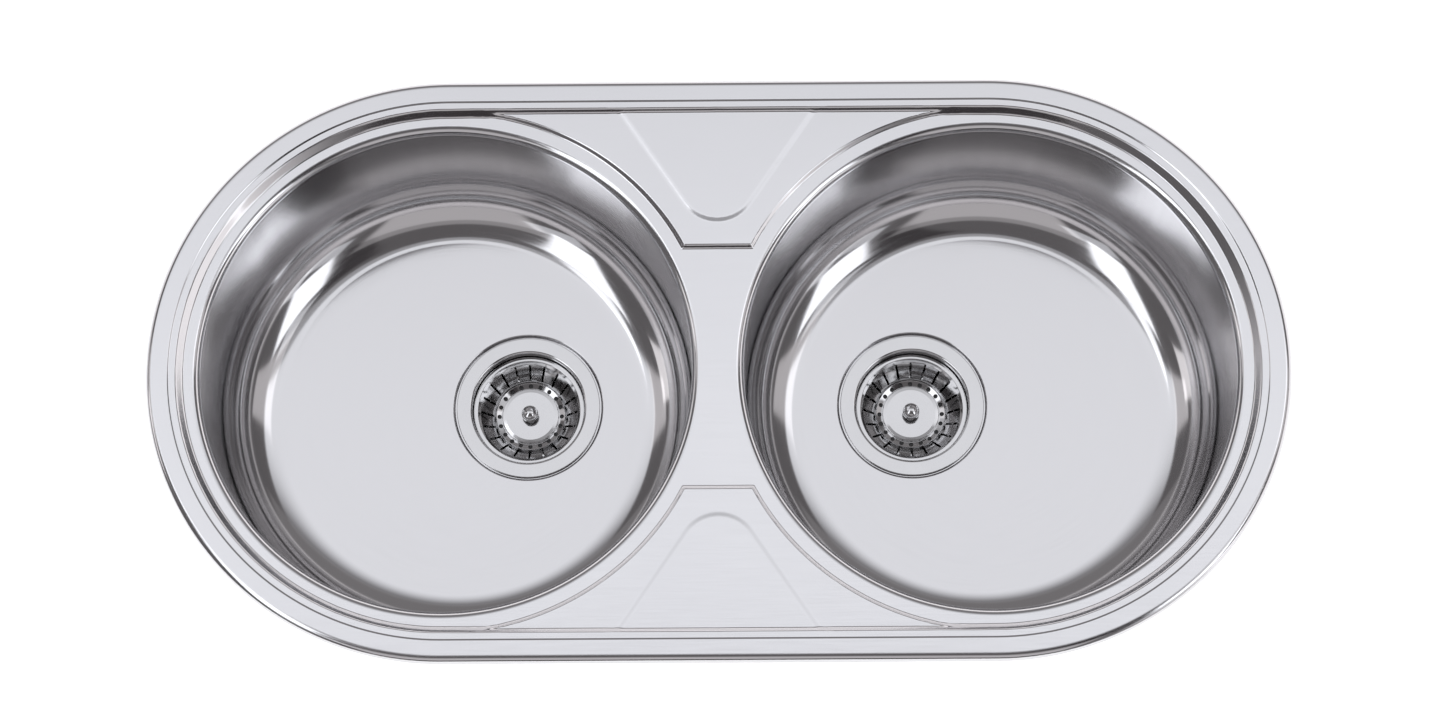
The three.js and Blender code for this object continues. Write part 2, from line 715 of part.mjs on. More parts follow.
// Claw, parked along the rim towards -Y, with a tooth that bites under the worktop.
function clawGeometry() {
  const halfWidth = CLAW_WIDTH / 2;
  const outline = [[-halfWidth, -CLAW_REACH], [halfWidth, -CLAW_REACH], ...arc(0, 0, halfWidth, 0, 180, 6)];
  const plate = tapered(outline, outline, clawFoot, -CLAW_DROP);
  const toothEnd = CLAW_TOOTH - CLAW_REACH;
  const toothTop = CLAW_TOOTH_HEIGHT - CLAW_DROP;
  const tooth = block(-halfWidth, halfWidth, -CLAW_REACH, toothEnd, clawFoot, toothTop);
  const hole = rod(clipHole, clawFoot - OVERCUT, OVERCUT - CLAW_DROP, FITTING_STEPS);
  return geometryOf(plate.add(tooth).subtract(hole));
}

// ---- Assembly ------------------------------------------------------------------------------

function piece(name, geometry, finish) {
  const mesh = new THREE.Mesh(geometry, finish);
  mesh.name = name;
  return mesh;
}

const sink = new THREE.Group();
sink.name = 'double_bowl_sink';
sink.add(piece('deck', deckGeometry(), satinSteel()));
sink.add(piece('rim_seal', rimSealGeometry(), greyFoam()));

for (const [sideName, side] of [['left', -1], ['right', 1]]) {
  const bowl = piece(`bowl_${sideName}`, bowlGeometry(side), satinSteel());
  bowl.position.x = side * bowlX;
  const pad = piece(`sound_pad_${sideName}`, soundPadGeometry(), bitumen());
  pad.position.set(side * (bowlX + PAD_FROM_CENTRE), 0, floorTop - SHEET);
  sink.add(bowl, pad);

  const waste = new THREE.Group();
  waste.position.set(side * (bowlX - WASTE_FROM_CENTRE), WASTE_BACK, recessTop);
  waste.add(piece(`flange_cup_${sideName}`, flangeCupGeometry(), polishedSteel()));
  waste.add(piece(`upper_gasket_${sideName}`, gasketGeometry(0, UPPER_GASKET), blackRubber()));
  waste.add(piece(`lower_gasket_${sideName}`, gasketGeometry(bodyTop, -SHEET), blackRubber()));
  waste.add(piece(`waste_body_${sideName}`, wasteBodyGeometry(), greyPlastic()));
  waste.add(piece(`waste_spigot_${sideName}`, wasteSpigotGeometry(), greyPlastic()));
  waste.add(piece(`centre_screw_${sideName}`, centreScrewGeometry(), zincSteel()));
  waste.add(piece(`basket_${sideName}`, basketGeometry(), polishedSteel()));
  waste.add(piece(`basket_plug_${sideName}`, plugGeometry(), blackRubber()));
  waste.add(piece(`basket_washer_${sideName}`, washerGeometry(), zincSteel()));
  waste.add(piece(`basket_stem_${sideName}`, stemGeometry(), zincSteel()));
  waste.add(piece(`basket_knob_${sideName}`, knobGeometry(), polishedSteel()));
  sink.add(waste);

  CLIP_ANGLES_DEG.forEach((angleDeg, index) => {
    const turn = degrees(angleDeg) + (side < 0 ? Math.PI : 0);
    const clip = new THREE.Group();
    clip.position.set(side * bowlX + clipRadius * Math.cos(turn), clipRadius * Math.sin(turn), 0);
    clip.rotation.z = turn;
    clip.add(piece(`clip_bracket_${sideName}_${index + 1}`, bracketGeometry(), zincSteel()));
    clip.add(piece(`clip_screw_${sideName}_${index + 1}`, clipScrewGeometry(), zincSteel()));
    clip.add(piece(`clip_claw_${sideName}_${index + 1}`, clawGeometry(), zincSteel()));
    sink.add(clip);
  });
}

export default sink;
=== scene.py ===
# Round-ended inset sink with two deep bowls in stainless steel, its basket wastes and its clamps, in metres.
# +Z is up, +Y points to the wall, and the origin is the middle of the worktop cut-out.
import math

import bmesh
import bpy
from mathutils import Matrix, Vector
from mathutils.geometry import delaunay_2d_cdt


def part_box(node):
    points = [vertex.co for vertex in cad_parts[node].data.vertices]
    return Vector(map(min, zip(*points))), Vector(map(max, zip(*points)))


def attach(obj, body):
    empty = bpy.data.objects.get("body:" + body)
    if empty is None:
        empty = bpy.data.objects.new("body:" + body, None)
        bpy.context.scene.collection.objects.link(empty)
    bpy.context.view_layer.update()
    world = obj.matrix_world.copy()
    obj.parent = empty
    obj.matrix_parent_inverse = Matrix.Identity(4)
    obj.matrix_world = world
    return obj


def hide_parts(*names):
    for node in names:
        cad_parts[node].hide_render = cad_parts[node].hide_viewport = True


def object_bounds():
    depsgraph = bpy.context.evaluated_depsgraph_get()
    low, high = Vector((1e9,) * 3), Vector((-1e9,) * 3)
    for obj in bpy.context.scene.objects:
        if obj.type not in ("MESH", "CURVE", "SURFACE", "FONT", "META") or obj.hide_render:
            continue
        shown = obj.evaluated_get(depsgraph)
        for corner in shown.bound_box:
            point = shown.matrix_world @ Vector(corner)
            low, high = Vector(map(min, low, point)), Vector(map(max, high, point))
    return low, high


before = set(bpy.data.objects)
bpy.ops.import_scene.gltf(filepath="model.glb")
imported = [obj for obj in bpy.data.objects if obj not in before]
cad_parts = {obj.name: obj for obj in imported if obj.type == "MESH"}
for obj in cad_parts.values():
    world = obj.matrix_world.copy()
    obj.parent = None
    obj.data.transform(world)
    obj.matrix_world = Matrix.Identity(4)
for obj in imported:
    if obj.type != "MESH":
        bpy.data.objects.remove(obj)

cad_low, cad_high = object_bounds()
MM = 0.001

# ---- Camera --------------------------------------------------------------------------------
# The photograph looks down on the sink from above its front edge, through a long lens.
CAMERA_PLACE = (0.02852, -0.67043, 2.57075)
CAMERA_YAW = -0.00668
CAMERA_PITCH = 0.25686
CAMERA_ROLL = 0.01183
CAMERA_LENS = 90.53
CAMERA_SENSOR = 36.0

camera_data = bpy.data.cameras.new("camera")
camera_data.lens = CAMERA_LENS
camera_data.sensor_width = CAMERA_SENSOR
camera = bpy.data.objects.new("camera", camera_data)
bpy.context.collection.objects.link(camera)
camera_turn = (
    Matrix.Rotation(CAMERA_YAW, 4, "Z")
    @ Matrix.Rotation(CAMERA_PITCH, 4, "X")
    @ Matrix.Rotation(CAMERA_ROLL, 4, "Y")
)
camera.matrix_world = Matrix.Translation(CAMERA_PLACE) @ camera_turn
bpy.context.scene.camera = camera

# ---- Deck ----------------------------------------------------------------------------------
# One pressing of 0.8 mm stainless steel: a turned-down rim with a fine crease, a slope down to the land round
# the openings, and two raised fields with an embossed wedge each. The edge of each opening is rolled down
# into a short collar, and the whole face has a satin finish.
SHEET = 0.8 * MM
FOLD_TURN = math.radians(12)
ROUND_STEPS = 192
SHARP_ANGLE = math.radians(40)
LAND_WIDTH = 6.0
MOUTH_ROUND = 6.0
SLOPE_RUN = 4.8
INNER_FLAT = 5.0
CREASE_RUN = 1.0
CREASE_DEPTH = 0.5
CREASE_EASE = 0.3
RIM_OVERHANG = 0.3
RIM_ROUND = 5.0
RIM_RISE = 6.0
FIELD_RISE = 2.5
WEDGE_RISE = 0.4
STEP_FROM_MIDDLE = 90.0
STEP_RUN = 2.2
WELL_CLEARANCE = 2.9
WEDGE_FROM_STEP = 19.0
WEDGE_ROUND = 31.0
WEDGE_SLANT = math.radians(34)
WEDGE_RUN = 5.0
FOLD_SOFTNESS = 0.7
# Places of the mesh lines that carry each fold: out from the slope's foot, out from the step's foot, and in
# from the wedge's outline.
SLOPE_LINES = (-1.6, -1.0, -0.5, 0.0, 0.5, 1.1, 1.7, 2.3, 2.9, 3.6, 4.2, 4.8, 5.3, 5.8)
STEP_LINES = (-0.9, -0.4, 0.1, 0.6, 1.1, 1.6, 2.1, 2.6, 3.1)
WEDGE_LINES = (-0.6, 0.0, 0.6, 1.2, 1.9, 2.5, 3.1, 3.8, 4.4, 5.0, 5.6)
STRAIGHT_STEPS = 24
ARC_STEPS = ROUND_STEPS // 4
CREASE_STEPS = 8
EDGE_STEPS = 10
FLAT_SPACING = 7.0
FLAT_FROM_MOUTH = 4.0
# Flat strips that are kept in the mesh beside each fold, so that flat faces shade as flat.
SLOPE_MARGIN = 1.5
CREASE_MARGIN = 0.9
EDGE_MARGIN = 0.8
MOUTH_MARGINS = (1.0, 0.3)
# Where the mesh lines of the well, the step and the wedge start or stop.
WELL_LINE_FROM = math.radians(97)
WELL_LINE_OVERRUN = 3.0
STEP_LINE_GAP = 0.5
WEDGE_LINE_OVERRUN = 0.6

_, deck_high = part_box("deck")
bowl_low, bowl_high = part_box("bowl_right")
bowl_x = (bowl_low.x + bowl_high.x) / 2
rim_radius = deck_high.y / MM
rim_top = deck_high.z / MM
land_top = rim_top - RIM_RISE
bowl_centre = bowl_x / MM
bowl_radius = (bowl_high.x - bowl_low.x) / 2 / MM - SHEET / MM
collar_foot = bowl_high.z / MM
mouth_radius = bowl_radius + MOUTH_ROUND
slope_foot = mouth_radius + LAND_WIDTH
slope_top = slope_foot + SLOPE_RUN
crease_inner = slope_top + INNER_FLAT
crease_outer = crease_inner + CREASE_RUN
inner_flat_top = rim_top - CREASE_DEPTH
slope = (inner_flat_top - land_top) / SLOPE_RUN
wedge_centre = STEP_FROM_MIDDLE + WEDGE_FROM_STEP + WEDGE_ROUND


def softened(low, high, lower=True):
    """The smaller of two heights, or the larger, with a round fold where they cross."""
    share = min(max(0.5 + 0.5 * (high - low) / FOLD_SOFTNESS, 0.0), 1.0)
    blend = FOLD_SOFTNESS * share * (1 - share)
    if lower:
        return high + (low - high) * share - blend
    return low + (high - low) * share + blend


def wedge_depth(x, y):
    """How far a point lies inside the outline of the wedge, which is a round foot with two slanted sides."""
    along, up = abs(x), y - wedge_centre
    side = WEDGE_ROUND - (along * math.cos(WEDGE_SLANT) - up * math.sin(WEDGE_SLANT))
    foot = WEDGE_ROUND - math.hypot(along, up)
    below_corner = up < -along * math.tan(WEDGE_SLANT)
    return foot if below_corner else side


def deck_height(x, y):
    """Height of the deck's top face inside the rim's flats, in a quarter of the sink."""
    edge_distance = math.hypot(max(x - bowl_centre, 0.0), y)
    bowl_distance = math.hypot(x - bowl_centre, y)
    well = slope * (bowl_distance - slope_foot - WELL_CLEARANCE)
    step = (y - STEP_FROM_MIDDLE) * FIELD_RISE / STEP_RUN
    field = softened(softened(well, step), FIELD_RISE)
    field = softened(0.0, field, lower=False)
    depth = min(max(wedge_depth(x, y) / WEDGE_RUN, 0.0), 1.0)
    field += WEDGE_RISE * depth * depth * (3 - 2 * depth) * min(field / FIELD_RISE, 1.0)
    rim = softened(slope * (edge_distance - slope_foot), inner_flat_top - land_top)
    return land_top + softened(field, rim, lower=False)


def rounded(corners, closed=False, turn=FOLD_TURN):
    """Points of an outline of (radius, height, fillet) corners, with its fillets drawn as arcs."""
    points = []
    for index, (radius, height, fillet) in enumerate(corners):
        here = Vector((radius, height))
        is_end = not closed and index in (0, len(corners) - 1)
        if is_end or not fillet:
            points.append((radius, height))
            continue
        before = Vector(corners[index - 1][:2]) - here
        after = Vector(corners[(index + 1) % len(corners)][:2]) - here
        half = before.angle(after) / 2
        reach = min(fillet / math.tan(half), 0.49 * before.length, 0.49 * after.length)
        arc_radius = reach * math.tan(half)
        inward = (before.normalized() + after.normalized()).normalized()
        centre = here + inward * arc_radius / math.sin(half)
        start = here + before.normalized() * reach - centre
        total = math.pi - 2 * half
        steps = max(2, math.ceil(total / turn))
        sweep = total if start.x * inward.y - start.y * inward.x < 0 else -total
        for step in range(steps + 1):
            angle = math.atan2(start.y, start.x) + sweep * step / steps
            points.append((centre.x + arc_radius * math.cos(angle), centre.y + arc_radius * math.sin(angle)))
    return points


def mesh_object(name, points, faces, unit=MM):
    """A shown object from points in millimetres."""
    mesh = bpy.data.meshes.new(name)
    mesh.from_pydata([[value * unit for value in point] for point in points], [], faces)
    mesh.update()
    piece = bpy.data.objects.new(name, mesh)
    bpy.context.collection.objects.link(piece)
    return piece


def welded(piece, tolerance=0.002 * MM, recalculate=False):
    """Joins doubled points and drops faces that shrank to nothing."""
    shape = bmesh.new()
    shape.from_mesh(piece.data)
    bmesh.ops.remove_doubles(shape, verts=shape.verts, dist=tolerance)
    bmesh.ops.dissolve_degenerate(shape, edges=shape.edges, dist=tolerance / 4)
    if recalculate:
        bmesh.ops.recalc_face_normals(shape, faces=shape.faces)
    shape.to_mesh(piece.data)
    shape.free()
    return piece


def applied(piece):
    """Keeps the piece as its modifiers leave it."""
    bpy.context.view_layer.update()
    graph = bpy.context.evaluated_depsgraph_get()
    mesh = bpy.data.meshes.new_from_object(piece.evaluated_get(graph))
    piece.modifiers.clear()
    piece.data = mesh
    return piece


def smooth(piece):
    """Smooth faces with true folds, shaded so that flats stay flat beside their fillets."""
    piece.data.shade_smooth()
    piece.data.set_sharp_from_angle(angle=SHARP_ANGLE)
    weighted = piece.modifiers.new("flat_faces", "WEIGHTED_NORMAL")
    weighted.keep_sharp = True
    return piece


def thickened(piece, thickness):
    """Gives a sheet its thickness, away from the face it was drawn on."""
    solidify = piece.modifiers.new("thickness", "SOLIDIFY")
    solidify.thickness = thickness
    solidify.offset = -1
    solidify.use_even_offset = True
    return applied(piece)


def quarter_rows(rows):
    """Stations from the middle of the back edge round to the end of the sink, each with every row's point."""
    stations = [(bowl_centre * step / STRAIGHT_STEPS, math.pi / 2) for step in range(STRAIGHT_STEPS)]
    stations += [(bowl_centre, math.pi / 2 * (1 - step / ARC_STEPS)) for step in range(ARC_STEPS + 1)]
    grid = []
    for centre, angle in stations:
        grid.append([(centre + r * math.cos(angle), r * math.sin(angle), z) for r, z in rows])
    return grid


def add_grid(points, faces, grid):
    """Adds a grid of points, with faces turned up where its rows run outwards."""
    first = len(points)
    width = len(grid[0])
    for station in grid:
        points.extend(station)
    for row in range(len(grid) - 1):
        for column in range(width - 1):
            corner = first + row * width + column
            faces.append((corner, corner + width, corner + width + 1, corner + 1))


def rim_profile():
    """Rim from the flat inside the crease out to the turned-down edge."""
    rows = [(slope_top + SLOPE_MARGIN, inner_flat_top), (crease_inner - CREASE_MARGIN, inner_flat_top)]
    for step in range(CREASE_STEPS + 1):
        share = step / CREASE_STEPS
        lift = CREASE_DEPTH * share * share * (3 - 2 * share)
        radius = crease_inner - CREASE_EASE + (CREASE_RUN + 2 * CREASE_EASE) * share
        rows.append((radius, inner_flat_top + lift))
    rows.append((crease_outer + CREASE_MARGIN, rim_top))
    outer_flat_end = rim_radius - RIM_ROUND
    rows.append((outer_flat_end - EDGE_MARGIN, rim_top))
    for step in range(EDGE_STEPS + 1):
        angle = math.pi / 2 * (1 - step / EDGE_STEPS)
        z = rim_top - RIM_ROUND + RIM_ROUND * math.sin(angle)
        rows.append((outer_flat_end + RIM_ROUND * math.cos(angle), z))
    rows.append((rim_radius, land_top - SHEET / MM - RIM_OVERHANG))
    return rows


def mouth_profile():
    """Rolled edge of an opening, from the land inwards and down to the collar's foot."""
    rows = [(mouth_radius + margin, land_top) for margin in MOUTH_MARGINS]
    for step in range(EDGE_STEPS + 1):
        angle = math.pi / 2 * (1 + step / EDGE_STEPS)
        z = land_top - MOUTH_ROUND + MOUTH_ROUND * math.sin(angle)
        rows.append((mouth_radius + MOUTH_ROUND * math.cos(angle), z))
    rows.append((bowl_radius, collar_foot))
    return rows


def fold_lines():
    """Lines along every fold of a quarter deck, as lists of [x, y]."""
    lines = []
    for offset in SLOPE_LINES:
        radius = slope_foot + offset
        line = [(bowl_centre * step / STRAIGHT_STEPS, radius) for step in range(STRAIGHT_STEPS)]
        for step in range(ARC_STEPS + 1):
            angle = math.pi / 2 * (1 - step / ARC_STEPS)
            line.append((bowl_centre + radius * math.cos(angle), radius * math.sin(angle)))
        lines.append(line)
    steps = 36
    for offset in STEP_LINES:
        radius = slope_foot + WELL_CLEARANCE + offset
        first = WELL_LINE_FROM
        last = math.pi - math.asin((STEP_FROM_MIDDLE - WELL_LINE_OVERRUN) / radius)
        lines.append([
            (bowl_centre + radius * math.cos(angle), radius * math.sin(angle))
            for angle in (first + (last - first) * step / steps for step in range(steps + 1))
        ])
    steps = 8
    for offset in STEP_LINES:
        y = STEP_FROM_MIDDLE + offset
        end = bowl_centre - math.sqrt((slope_foot + STEP_LINE_GAP) ** 2 - y * y)
        lines.append([(end * step / steps, y) for step in range(steps + 1)])
    round_steps, side_steps = 14, 12
    for inset in WEDGE_LINES:
        radius = WEDGE_ROUND - inset
        line = []
        for step in range(round_steps + 1):
            angle = (math.pi / 2 - WEDGE_SLANT) * step / round_steps
            line.append((radius * math.sin(angle), wedge_centre - radius * math.cos(angle)))
        corner_x, corner_y = line[-1]
        reach = slope_top + WEDGE_LINE_OVERRUN - corner_y
        for step in range(1, side_steps + 1):
            rise = reach * step / side_steps
            line.append((corner_x + rise * math.tan(WEDGE_SLANT), corner_y + rise))
        lines.append(line)
    return lines


def deck_face(points, faces, outer, inner):
    """Fills a quarter deck between the rim's flat and the opening's edge, with points along every fold."""
    outline = [(x, y) for x, y, _ in outer] + [(x, y) for x, y, _ in inner] + [(0.0, 0.0)]
    flat_points = [Vector(point) for point in outline]
    edges = [(index, (index + 1) % len(outline)) for index in range(len(outline))]
    for line in fold_lines():
        start = len(flat_points)
        flat_points += [Vector(point) for point in line]
        edges += [(start + index, start + index + 1) for index in range(len(line) - 1)]
    for column in range(1, int(bowl_centre / FLAT_SPACING)):
        for row in range(1, int(slope_foot / FLAT_SPACING)):
            x, y = column * FLAT_SPACING, row * FLAT_SPACING
            if math.hypot(x - bowl_centre, y) > mouth_radius + FLAT_FROM_MOUTH:
                flat_points.append(Vector((x, y)))
    keep_inside, merge_distance = 1, 1e-4
    result = delaunay_2d_cdt(flat_points, edges, [], keep_inside, merge_distance)
    first = len(points)
    points.extend((x, y, deck_height(x, y)) for x, y in result[0])
    for face in result[2]:
        faces.append([first + corner for corner in face])


def deck_pressing():
    """Draws a quarter of the deck's top face, mirrors it round, and gives it the sheet's thickness."""
    points, faces = [], []
    rim_grid = quarter_rows(rim_profile())
    add_grid(points, faces, rim_grid)
    half_steps = ROUND_STEPS // 2
    mouth_grid = []
    for step in range(half_steps + 1):
        angle = math.pi * step / half_steps
        mouth_grid.append([
            (bowl_centre + r * math.cos(angle), r * math.sin(angle), z) for r, z in mouth_profile()
        ])
    add_grid(points, faces, mouth_grid)
    outer = [station[0] for station in rim_grid]
    inner = [station[0] for station in mouth_grid]
    deck_face(points, faces, outer, inner)
    whole_points, whole_faces = [], []
    for turn_x in (1, -1):
        for turn_y in (1, -1):
            first = len(whole_points)
            whole_points += [(turn_x * x, turn_y * y, z) for x, y, z in points]
            whole_faces += [[first + corner for corner in face] for face in faces]
    pressing = welded(mesh_object("deck_pressing", whole_points, whole_faces), recalculate=True)
    upper = max(pressing.data.polygons, key=lambda face: face.area)
    if upper.normal.z < 0:
        pressing.data.flip_normals()
    return smooth(thickened(pressing, SHEET))


def node_tree(name, metallic, roughness, base_colour=(0.8, 0.8, 0.8)):
    """A new material with its shader set, and a function that adds nodes to it."""
    material = bpy.data.materials.new(name)
    material.use_nodes = True
    nodes, links = material.node_tree.nodes, material.node_tree.links
    shader = nodes["Principled BSDF"]
    shader.inputs["Base Color"].default_value = (*base_colour, 1)
    shader.inputs["Roughness"].default_value = roughness
    shader.inputs["Metallic"].default_value = metallic

    def add(kind, **values):
        node = nodes.new(kind)
        for key, value in values.items():
            if key in node.inputs:
                node.inputs[key].default_value = value
            else:
                setattr(node, key, value)
        return node

    return material, shader, add, links


def stretched_noise(add, links, stretch, detail):
    """Noise in the object's own space, at its own rate along each axis."""
    place = add("ShaderNodeTexCoord")
    mapping = add("ShaderNodeMapping")
    mapping.inputs["Scale"].default_value = stretch
    noise = add("ShaderNodeTexNoise", Scale=1.0, Detail=detail)
    links.new(place.outputs["Object"], mapping.inputs["Vector"])
    links.new(mapping.outputs["Vector"], noise.inputs["Vector"])
    return noise.outputs["Fac"]


def spread(add, links, source, low, high):
    """Maps the span that holds most of a noise's grey values to a range."""
    range_node = add("ShaderNodeMapRange")
    range_node.inputs["From Min"].default_value = 0.3
    range_node.inputs["From Max"].default_value = 0.7
    range_node.inputs["To Min"].default_value = low
    range_node.inputs["To Max"].default_value = high
    links.new(source, range_node.inputs["Value"])
    return range_node.outputs["Result"]


def tinted(add, links, source, dark, light):
    """Mixes two colours by a grey value."""
    mix = add("ShaderNodeMix", data_type="RGBA")
    mix.inputs["A"].default_value = (*dark, 1)
    mix.inputs["B"].default_value = (*light, 1)
    links.new(source, mix.inputs["Factor"])
    return mix.outputs["Result"]


def raised(add, links, shader, source, strength, distance):
    """Fine relief on the shader's normal."""
    bump = add("ShaderNodeBump", Strength=strength, Distance=distance)
    links.new(source, bump.inputs["Height"])
    links.new(bump.outputs["Normal"], shader.inputs["Normal"])


def patterned(name, metallic, coarse, fine, colours, roughness, relief, rough_by="fine"):
    """A material with two patterns: the coarse one tints it, the fine one raises it, and either one dulls it.

    A pattern is noise, as (rates along X, Y and Z, detail), or round cells, as a single rate. Colours and
    roughness are ranges, and relief is a strength and a depth in millimetres."""
    material, shader, add, links = node_tree(name, metallic, roughness[0])
    grey = {}
    for kind, pattern in (("coarse", coarse), ("fine", fine)):
        if isinstance(pattern, float):
            place = add("ShaderNodeTexCoord")
            cells = add("ShaderNodeTexVoronoi", Scale=pattern)
            links.new(place.outputs["Object"], cells.inputs["Vector"])
            grey[kind] = cells.outputs["Distance"]
        else:
            grey[kind] = stretched_noise(add, links, *pattern)
    links.new(tinted(add, links, grey["coarse"], *colours), shader.inputs["Base Color"])
    if roughness[0] != roughness[1]:
        links.new(spread(add, links, grey[rough_by], *roughness), shader.inputs["Roughness"])
    raised(add, links, shader, grey["fine"], relief[0], relief[1] * MM)
    return material


def satin_deck_steel():
    """Satin stainless steel with a long fine grain along the sink."""
    return patterned(
        "satin_deck_steel", metallic=1.0, coarse=((7, 7, 7), 2.0), fine=((30, 900, 900), 4.0),
        colours=((0.735, 0.735, 0.75), (0.765, 0.765, 0.775)),
        roughness=(0.09, 0.14), relief=(0.015, 0.02),
    )


def dressed(piece, material, body, slot, *nodes):
    """Finishes a piece: its material, the body it rides on, and the nodes it stands for. Its slot is not
    used.
    """
    piece.data.materials.clear()
    piece.data.materials.append(material)
    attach(piece, body)
    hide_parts(*nodes)
    return piece


dressed(deck_pressing(), satin_deck_steel(), "sink", "satin_steel", "deck")

# ---- Bowls ---------------------------------------------------------------------------------
# Two bowls, deep-drawn from stainless steel and welded to the deck's collars, with the weld ground flush.
# The floor is brushed in rings, the walls carry faint upright bands of painted reflection in their colour,
# and a shallow recess towards the bridge takes the waste.
BOWL_DRAFT = 2.0
BOWL_FILLET = 40.0
BOWL_TURN = math.radians(4)
RECESS_DEPTH = 3.0
RECESS_RUN = 0.7
RECESS_MARGIN = 1.5
RECESS_FOLD = 0.9
FLOOR_MARGIN = 4.0
CUP_RADIUS = 43.5
HOLE_MARGIN = 2.0
BOWL_ROUGHNESS = (0.08, 0.12)
WALL_DULLNESS = 0.09

flange_low, flange_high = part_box("flange_cup_right")
waste_x = (flange_low.x + flange_high.x) / 2
waste_y = (flange_low.y + flange_high.y) / 2
flange_radius = (flange_high.x - flange_low.x) / 2 / MM
recess_top = bowl_low.z / MM + SHEET / MM
floor_top = recess_top + RECESS_DEPTH
recess_foot = flange_radius + RECESS_MARGIN
recess_edge = recess_foot + RECESS_RUN
hole_radius = CUP_RADIUS + HOLE_MARGIN


def ring_faces(points, faces, rings):
    """Adds closed rings of points, joined by faces that are turned up where the rings run inwards."""
    first = len(points)
    steps = len(rings[0])
    for ring in rings:
        points.extend(ring)
    for row in range(len(rings) - 1):
        for column in range(steps):
            here = first + row * steps
            after = (column + 1) % steps
            faces.append((here + column, here + after, here + steps + after, here + steps + column))


def circle(radius, height, steps, centre=(0.0, 0.0)):
    angles = (2 * math.pi * step / steps for step in range(steps))
    return [(centre[0] + radius * math.cos(a), centre[1] + radius * math.sin(a), height) for a in angles]


def bowl_pressing(name, side):
    """Rings down the wall, across the floor towards the waste, and down into its recess."""
    foot_radius = bowl_radius - BOWL_DRAFT
    wall = rounded([
        (bowl_radius, collar_foot, 0),
        (foot_radius, floor_top, BOWL_FILLET),
        (foot_radius - 3 * BOWL_FILLET, floor_top, 0),
    ], turn=BOWL_TURN)
    rings = [circle(r, z, ROUND_STEPS) for r, z in wall[:-1]]
    to_waste = (-side * (bowl_centre - waste_x / MM), waste_y / MM)
    outer_radius = foot_radius - BOWL_FILLET
    inner_radius = recess_edge + FLOOR_MARGIN
    floor_steps = 5
    for step in range(1, floor_steps + 1):
        share = step / floor_steps
        centre = (to_waste[0] * share, to_waste[1] * share)
        radius = outer_radius + (inner_radius - outer_radius) * share
        rings.append(circle(radius, floor_top, ROUND_STEPS, centre))
    recess = rounded([
        (inner_radius, floor_top, 0),
        (recess_edge, floor_top, RECESS_FOLD),
        (recess_foot, recess_top, RECESS_FOLD),
        (hole_radius, recess_top, 0),
    ])
    rings += [circle(r, z, ROUND_STEPS, to_waste) for r, z in recess[1:]]
    points, faces = [], []
    ring_faces(points, faces, rings)
    bowl = thickened(welded(mesh_object(name, points, faces)), SHEET)
    bowl.location.x = side * bowl_x
    return smooth(bowl)


def brushed_bowl_steel():
    """Stainless steel brushed in rings, with upright bands of painted reflection in the wall's colour."""
    material, shader, add, links = node_tree("brushed_bowl_steel", 1.0, BOWL_ROUGHNESS[0])
    place = add("ShaderNodeTexCoord")
    parts = add("ShaderNodeSeparateXYZ")
    links.new(place.outputs["Object"], parts.inputs["Vector"])
    flat = add("ShaderNodeCombineXYZ")
    links.new(parts.outputs["X"], flat.inputs["X"])
    links.new(parts.outputs["Y"], flat.inputs["Y"])
    radius = add("ShaderNodeVectorMath", operation="LENGTH")
    heading = add("ShaderNodeVectorMath", operation="NORMALIZE")
    links.new(flat.outputs["Vector"], radius.inputs[0])
    links.new(flat.outputs["Vector"], heading.inputs[0])
    run = add("ShaderNodeMath", operation="SUBTRACT")
    links.new(radius.outputs["Value"], run.inputs[0])
    links.new(parts.outputs["Z"], run.inputs[1])
    way = add("ShaderNodeSeparateXYZ")
    links.new(heading.outputs["Vector"], way.inputs["Vector"])

    def polar_noise(along, across, detail):
        """Noise that runs round the bowl at the rate `along`, and down the wall at the rate `across`."""
        vector = add("ShaderNodeCombineXYZ")
        for source, rate, target in ((way.outputs["X"], along, "X"), (way.outputs["Y"], along, "Y"),
                                     (run.outputs["Value"], across, "Z")):
            scaled = add("ShaderNodeMath", operation="MULTIPLY")
            scaled.inputs[1].default_value = rate
            links.new(source, scaled.inputs[0])
            links.new(scaled.outputs["Value"], vector.inputs[target])
        noise = add("ShaderNodeTexNoise", Scale=1.0, Detail=detail)
        links.new(vector.outputs["Vector"], noise.inputs["Vector"])
        return noise.outputs["Fac"]

    rings = polar_noise(3.0, 900.0, 3.0)
    # Upright bands of painted reflection, which are mixed into the wall's colour below.
    painted_reflection_streaks = polar_noise(24.0, 3.0, 2.0)
    wall_share = add("ShaderNodeMapRange")
    wall_share.inputs["From Min"].default_value = (floor_top + BOWL_FILLET / 2) * MM
    wall_share.inputs["From Max"].default_value = (floor_top + 1.3 * BOWL_FILLET) * MM
    links.new(parts.outputs["Z"], wall_share.inputs["Value"])
    dulled = add("ShaderNodeMath", operation="MULTIPLY_ADD")
    dulled.inputs[1].default_value = WALL_DULLNESS
    links.new(wall_share.outputs["Result"], dulled.inputs[0])
    links.new(spread(add, links, rings, *BOWL_ROUGHNESS), dulled.inputs[2])
    links.new(dulled.outputs["Value"], shader.inputs["Roughness"])
    # drawn mixes the painted reflection bands into the wall's colour, and the floor keeps a plain middle
    # tone.
    drawn = add("ShaderNodeMapRange")
    drawn.inputs["To Min"].default_value = 0.5
    links.new(wall_share.outputs["Result"], drawn.inputs["Value"])
    links.new(painted_reflection_streaks, drawn.inputs["To Max"])
    colour = tinted(add, links, drawn.outputs["Result"], (0.64, 0.635, 0.645), (0.74, 0.74, 0.75))
    links.new(colour, shader.inputs["Base Color"])
    raised(add, links, shader, rings, 0.01, 0.01 * MM)
    return material


bowl_steel = brushed_bowl_steel()
SIDES = (("left", -1), ("right", 1))
for side_name, side in SIDES:
    bowl = bowl_pressing(f"bowl_pressing_{side_name}", side)
    dressed(bowl, bowl_steel, "sink", "satin_steel", f"bowl_{side_name}")

